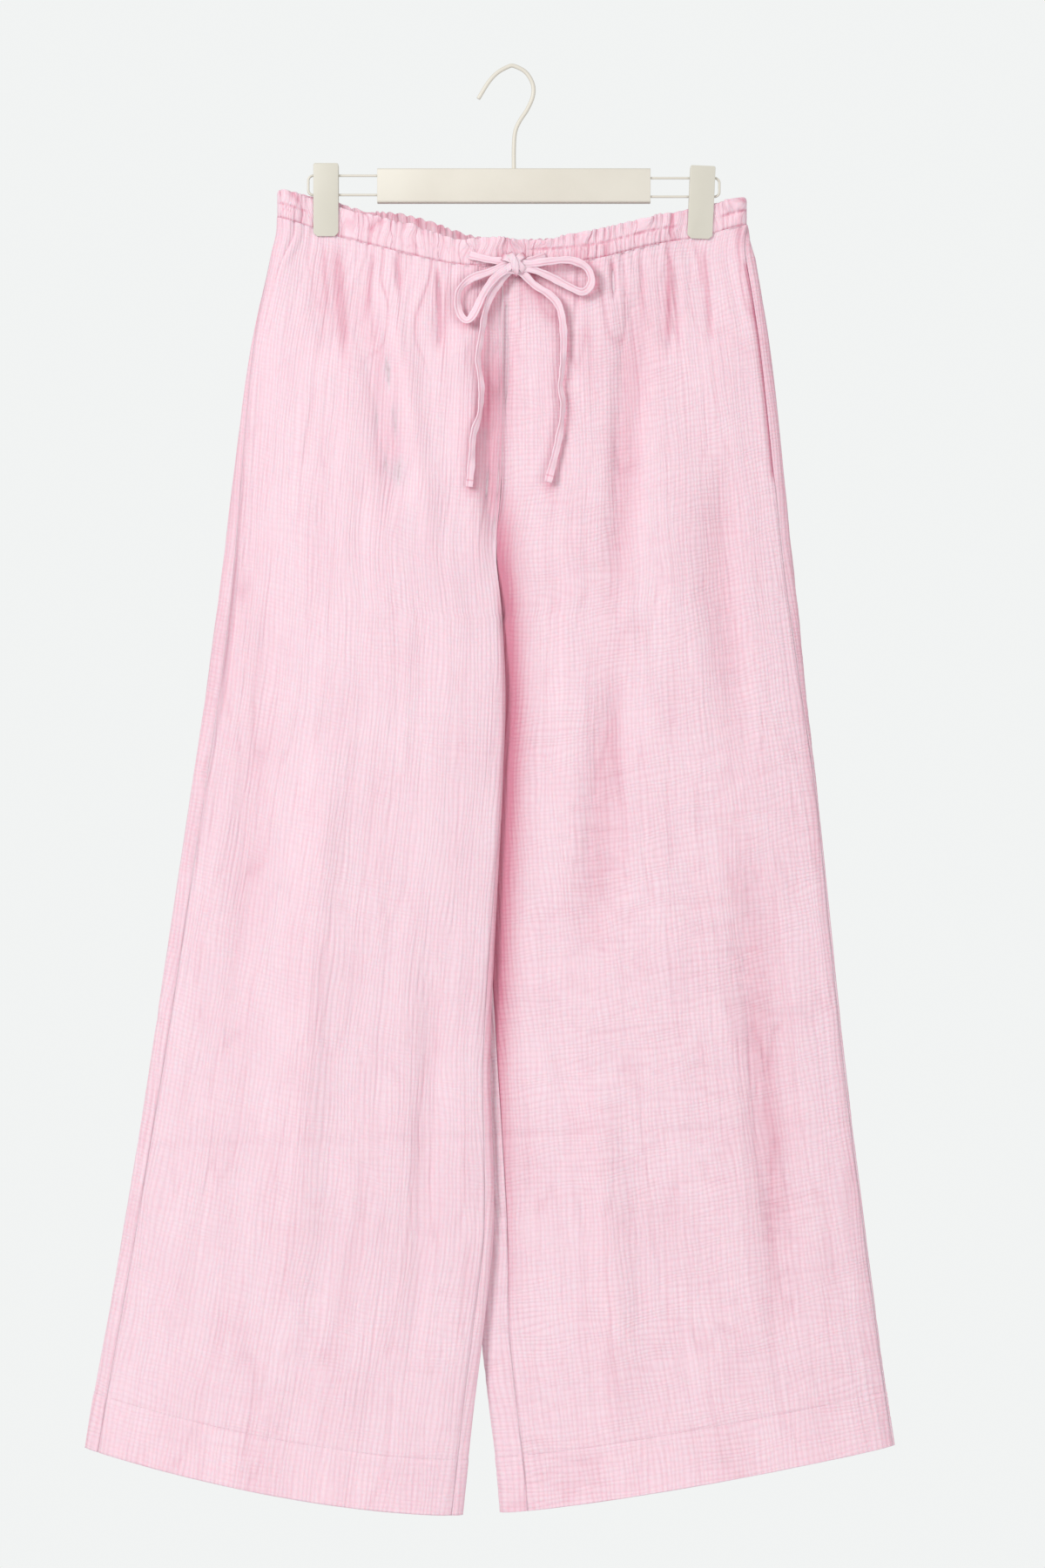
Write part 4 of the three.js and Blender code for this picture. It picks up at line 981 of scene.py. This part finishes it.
# Hanger: pressed sheet and bent wire under one coat of cream paint, slightly pebbled.
# The clips' coat is a little darker and duller than the bar's.
def paint_material(name, dark, light, coat):
    material, tree, paint = new_material(name)
    place = tree.nodes.new("ShaderNodeTexCoord").outputs["Object"]
    cloud = add_node(tree, "TexNoise", {"Scale": 18, "Detail": 3, "Vector": place}).outputs["Fac"]
    gloss = add_node(tree, "MapRange", {"To Min": 0.38, "To Max": 0.52, "Value": cloud})
    pebble = add_node(tree, "TexNoise", {"Scale": 900, "Detail": 2, "Vector": place})
    bump = add_node(tree, "Bump", {"Strength": 0.12, "Distance": 0.0002,
                                   "Height": pebble.outputs["Fac"]})
    wire(tree, paint, {"Coat Weight": coat, "Coat Roughness": 0.35,
                       "Base Color": two_tones(tree, cloud, 0.3, dark, 0.7, light),
                       "Roughness": gloss.outputs["Result"], "Normal": bump.outputs["Normal"]})
    return material


cream_paint = paint_material("cream_paint", (0.67, 0.642, 0.562), (0.712, 0.688, 0.607), 0.12)
clip_paint = paint_material("clip_paint", (0.60, 0.585, 0.505), (0.635, 0.62, 0.54), 0.03)

# Hook: 3.4 mm wire bent to a hook, with a riveted head under the bar's upper flange.
# The head and the rounded tip are a few more rings, each with its own share of the radius.
HOOK_WIRE = 1.7
HOOK_ROUTE = [
    (0, 0, -84.1), (0, 0, -66), (1, 0, -53), (4.5, 0, -44), (11, 0, -34), (15.6, 0, -23),
    (15.4, 0, -13), (9.6, 0, -3.4), (0, 0, 1.7), (-5, 0, 0.9), (-13.6, 0, -4), (-21, 0, -12),
    (-29, 0, -25),
]
HOOK_HEAD = [(0, 0, -85.8), (0, 0, -85.5), (0, 0, -84.6), (0, 0, -84.25)]
HOOK_HEAD_SIZES = [1.35, 1.5, 1.5, 1.2]
HOOK_TIP_STEPS = [[0.25], [0.45], [0.5]]
HOOK_TIP_SIZES = [0.9, 0.6, 0.25]
hook_route = smooth_route(HOOK_ROUTE, 1.2)[0]
hook_tip = hook_route[-1] + (hook_route[-1] - hook_route[-2]) * np.array(HOOK_TIP_STEPS)
hook_sizes = np.concatenate([HOOK_HEAD_SIZES, np.ones(len(hook_route)), HOOK_TIP_SIZES])
hook = swept_piece("hook_wire", np.vstack([HOOK_HEAD, hook_route, hook_tip]), round_section(HOOK_WIRE, 16),
                   cream_paint, facing=(0, -1, 0.001), scales=hook_sizes)
dress(hook, "hanger_paint", "hanger_hook")

# Bar: one length of sheet folded to a channel that is open to the back, with soft bends.
# Its cut ends are rounded off by rings that draw in towards the middle of the sheet.
BAR_END = 112.0
BAR_TOP = -82.6
BAR_HEIGHT = 28.4
BAR_FRONT = -4.2
BAR_BACK = 3.2
BAR_BEND = 2.0
SHEET = 1.2
# Distance from the bar's middle, and the share of the way in to the middle of the sheet
BAR_RINGS = [(BAR_END, 0.5), (BAR_END - 0.12, 0.2), (BAR_END - 0.4, 0), (4.5, 0)]


def channel_section():
    """The folded sheet, as y and z: round its outside from the upper back edge, then back inside."""
    foot = BAR_TOP - BAR_HEIGHT
    outside = [(BAR_BACK, BAR_TOP)]
    inside = [(BAR_BACK, BAR_TOP - SHEET)]
    for centre_z, start in ((BAR_TOP - BAR_BEND, 90), (foot + BAR_BEND, 180)):
        outside += arc(BAR_FRONT + BAR_BEND, centre_z, BAR_BEND, start, start + 90, 7)
        inside += arc(BAR_FRONT + BAR_BEND, centre_z, BAR_BEND - SHEET, start, start + 90, 7)
    outside.append((BAR_BACK, foot))
    inside.append((BAR_BACK, foot + SHEET))
    return np.array(outside + inside[::-1])


bar_section = channel_section()
sheet_middle = (bar_section + bar_section[::-1]) / 2
bar_points = []
for x, shrink in [(-x, shrink) for x, shrink in BAR_RINGS] + BAR_RINGS[::-1]:
    ring = bar_section + (sheet_middle - bar_section) * shrink
    bar_points.append(np.column_stack([np.full(len(ring), x), ring]))
bar_faces = swept_faces(len(bar_points), len(bar_section))
bar = mesh_piece("hanger_channel", np.vstack(bar_points), bar_faces, cream_paint)
bar.data.set_sharp_from_angle(angle=math.radians(40))
dress(bar, "hanger_paint", "hanger_bar")

# Loops: 2 mm wire bent to a long narrow loop at each end of the bar, its ends inside the bar.
# Each row gives the side and the heights of its upper and its lower rod.
LOOP_WIRE = 1.0
LOOP_DEPTH = -1.7
LOOP_INSIDE = 82.0
LOOP_STRAIGHT = 30.0
LOOP_OUTSIDE = 169.5
LOOP_BEND = 4.0
LOOPS = {"right": (-1, -88.6, -104.4), "left": (1, -90.6, -105.8)}
for name, (side, upper, lower) in LOOPS.items():
    bend_x = LOOP_OUTSIDE - LOOP_BEND - LOOP_WIRE
    loop_line = [(LOOP_INSIDE, upper), (LOOP_INSIDE + LOOP_STRAIGHT, upper)]
    for bend_z, first in ((upper - LOOP_BEND, 90), (lower + LOOP_BEND, 0)):
        loop_line += arc(bend_x, bend_z, LOOP_BEND, first, first - 90, 11)
    loop_line += [(LOOP_INSIDE + LOOP_STRAIGHT, lower), (LOOP_INSIDE, lower)]
    loop_route = np.array([(side * x, LOOP_DEPTH, z) for x, z in loop_line])
    loop = swept_piece(f"loop_wire_{name}", loop_route, round_section(LOOP_WIRE, 16), cream_paint)
    dress(loop, "hanger_paint", f"hanger_loop_{name}")

# Clips: two jaws of pressed sheet with softened edges, on a folded block that slides on the rods.
# Each row gives the place, the top and the tilt of one clip.
JAW_WIDTH = 20.6
JAW_HEIGHT = 60.0
JAW_INSIDE = 3.9
JAW_CORNER = 1.6
JAW_CUT = 3.0
# Share of the way through the sheet, and how far the outline is drawn in there
JAW_LAYERS = [(0, 0.35), (0.1, 0.1), (0.3, 0), (0.7, 0), (0.9, 0.1), (1, 0.35)]
BLOCK_EDGE = 0.8
BLOCK_FACES = [(0, 1, 3, 2), (4, 6, 7, 5), (0, 4, 5, 1), (2, 3, 7, 6), (0, 2, 6, 4), (1, 5, 7, 3)]
CLIPS = {"right": (-154, -78.6, 0.0), "left": (155, -80.7, 0.045)}


def jaw_outline(inset):
    """The plate's outline, point by point: small round corners above, and cut corners below."""
    half = JAW_WIDTH / 2 - inset
    foot = -JAW_HEIGHT + inset
    outline = []
    for side, first in ((-1, 180), (1, 90)):
        outline += arc(side * (half - JAW_CORNER), -inset - JAW_CORNER, JAW_CORNER, first, first - 90, 7)
    for side, shares in ((1, (0, 0.15, 0.85, 1)), (-1, (1, 0.85, 0.15, 0))):
        for share in shares:
            soften = 0.3 * (share in (0, 1))
            outline.append((side * (half - JAW_CUT * share), foot + (JAW_CUT + soften) * (1 - share)))
    return outline


for name, (place, top, tilt) in CLIPS.items():
    for face, outwards in (("front", -1), ("back", 1)):
        points = []
        for share, inset in JAW_LAYERS:
            for x, z in jaw_outline(inset):
                points.append((place + x * math.cos(tilt) + z * math.sin(tilt),
                               outwards * (JAW_INSIDE + share * SHEET),
                               top - x * math.sin(tilt) + z * math.cos(tilt)))
        faces = swept_faces(len(JAW_LAYERS), len(points) // len(JAW_LAYERS))
        jaw = mesh_piece(f"jaw_{face}_{name}", points, faces, clip_paint, flipped=face == "back")
        jaw.data.set_sharp_from_angle(angle=math.radians(50))
        dress(jaw, "hanger_paint", f"clip_{name}_{face}_jaw")
    low, high = np.array(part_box(f"clip_{name}_block")) / MM
    corners = [(x, y, z) for x in (low[0], high[0]) for y in (low[1], high[1]) for z in (low[2], high[2])]
    block = mesh_piece(f"slider_{name}", corners, BLOCK_FACES, clip_paint, smooth=False)
    bevel = block.modifiers.new("soft edges", "BEVEL")
    bevel.width = BLOCK_EDGE * MM
    bevel.segments = 3
    dress(block, "hanger_paint", f"clip_{name}_block")

# Floor and light: a pale floor under the hem, and a pale room that lights the cloth all round.
# A broad soft key stands at the upper left of the picture, and a weaker fill at its right.
FLOOR_RADIUS = 950.0
FLOOR_Z = -1420.0
FLOOR_SIDES = 96
floor_material, floor_tree, floor_surface = new_material("pale_floor")
floor_cloud = add_node(floor_tree, "TexNoise", {"Scale": 0.6}).outputs["Fac"]
floor_tone = two_tones(floor_tree, floor_cloud, 0, (0.80, 0.81, 0.815), 1, (0.84, 0.85, 0.855))
wire(floor_tree, floor_surface, {"Base Color": floor_tone, "Roughness": 0.95})
floor_rim = [(x, y, FLOOR_Z) for x, y in round_section(FLOOR_RADIUS, FLOOR_SIDES)]
floor = mesh_piece("floor", floor_rim, [list(range(FLOOR_SIDES))], floor_material, smooth=False)

world = bpy.data.worlds.new("pale room")
bpy.context.scene.world = world
world.use_nodes = True
room = world.node_tree.nodes["Background"]
wire(world.node_tree, room, {"Color": (0.97, 0.95, 0.955, 1), "Strength": 0.58})
seen = add_node(world.node_tree, "Background", {"Color": (0.885, 0.9, 0.895, 1)})
ray = world.node_tree.nodes.new("ShaderNodeLightPath")
choice = add_node(world.node_tree, "MixShader", {
    "Fac": ray.outputs["Is Camera Ray"], 1: room.outputs["Background"], 2: seen.outputs["Background"]})
wire(world.node_tree, world.node_tree.nodes["World Output"], {"Surface": choice.outputs["Shader"]})


def add_softbox(name, place, aim, size, power):
    lamp = bpy.data.lights.new(name, "AREA")
    lamp.shape = "RECTANGLE"
    lamp.size, lamp.size_y = size
    lamp.energy = power
    lamp.color = (1.0, 0.985, 0.97)
    light = bpy.data.objects.new(name, lamp)
    light.location = place
    x, y, z = np.array(aim) - np.array(place)
    light.rotation_euler = (math.atan2(math.hypot(x, y), -z), 0, math.atan2(-x, y))
    bpy.context.scene.collection.objects.link(light)


add_softbox("key", (-2.2, -2.7, 1.0), (0, 0, -0.6), (1.1, 1.4), 79)
add_softbox("fill", (2.2, -3.0, -0.5), (0, 0, -0.8), (2.0, 2.0), 34)
bpy.context.scene.view_settings.view_transform = "Standard"
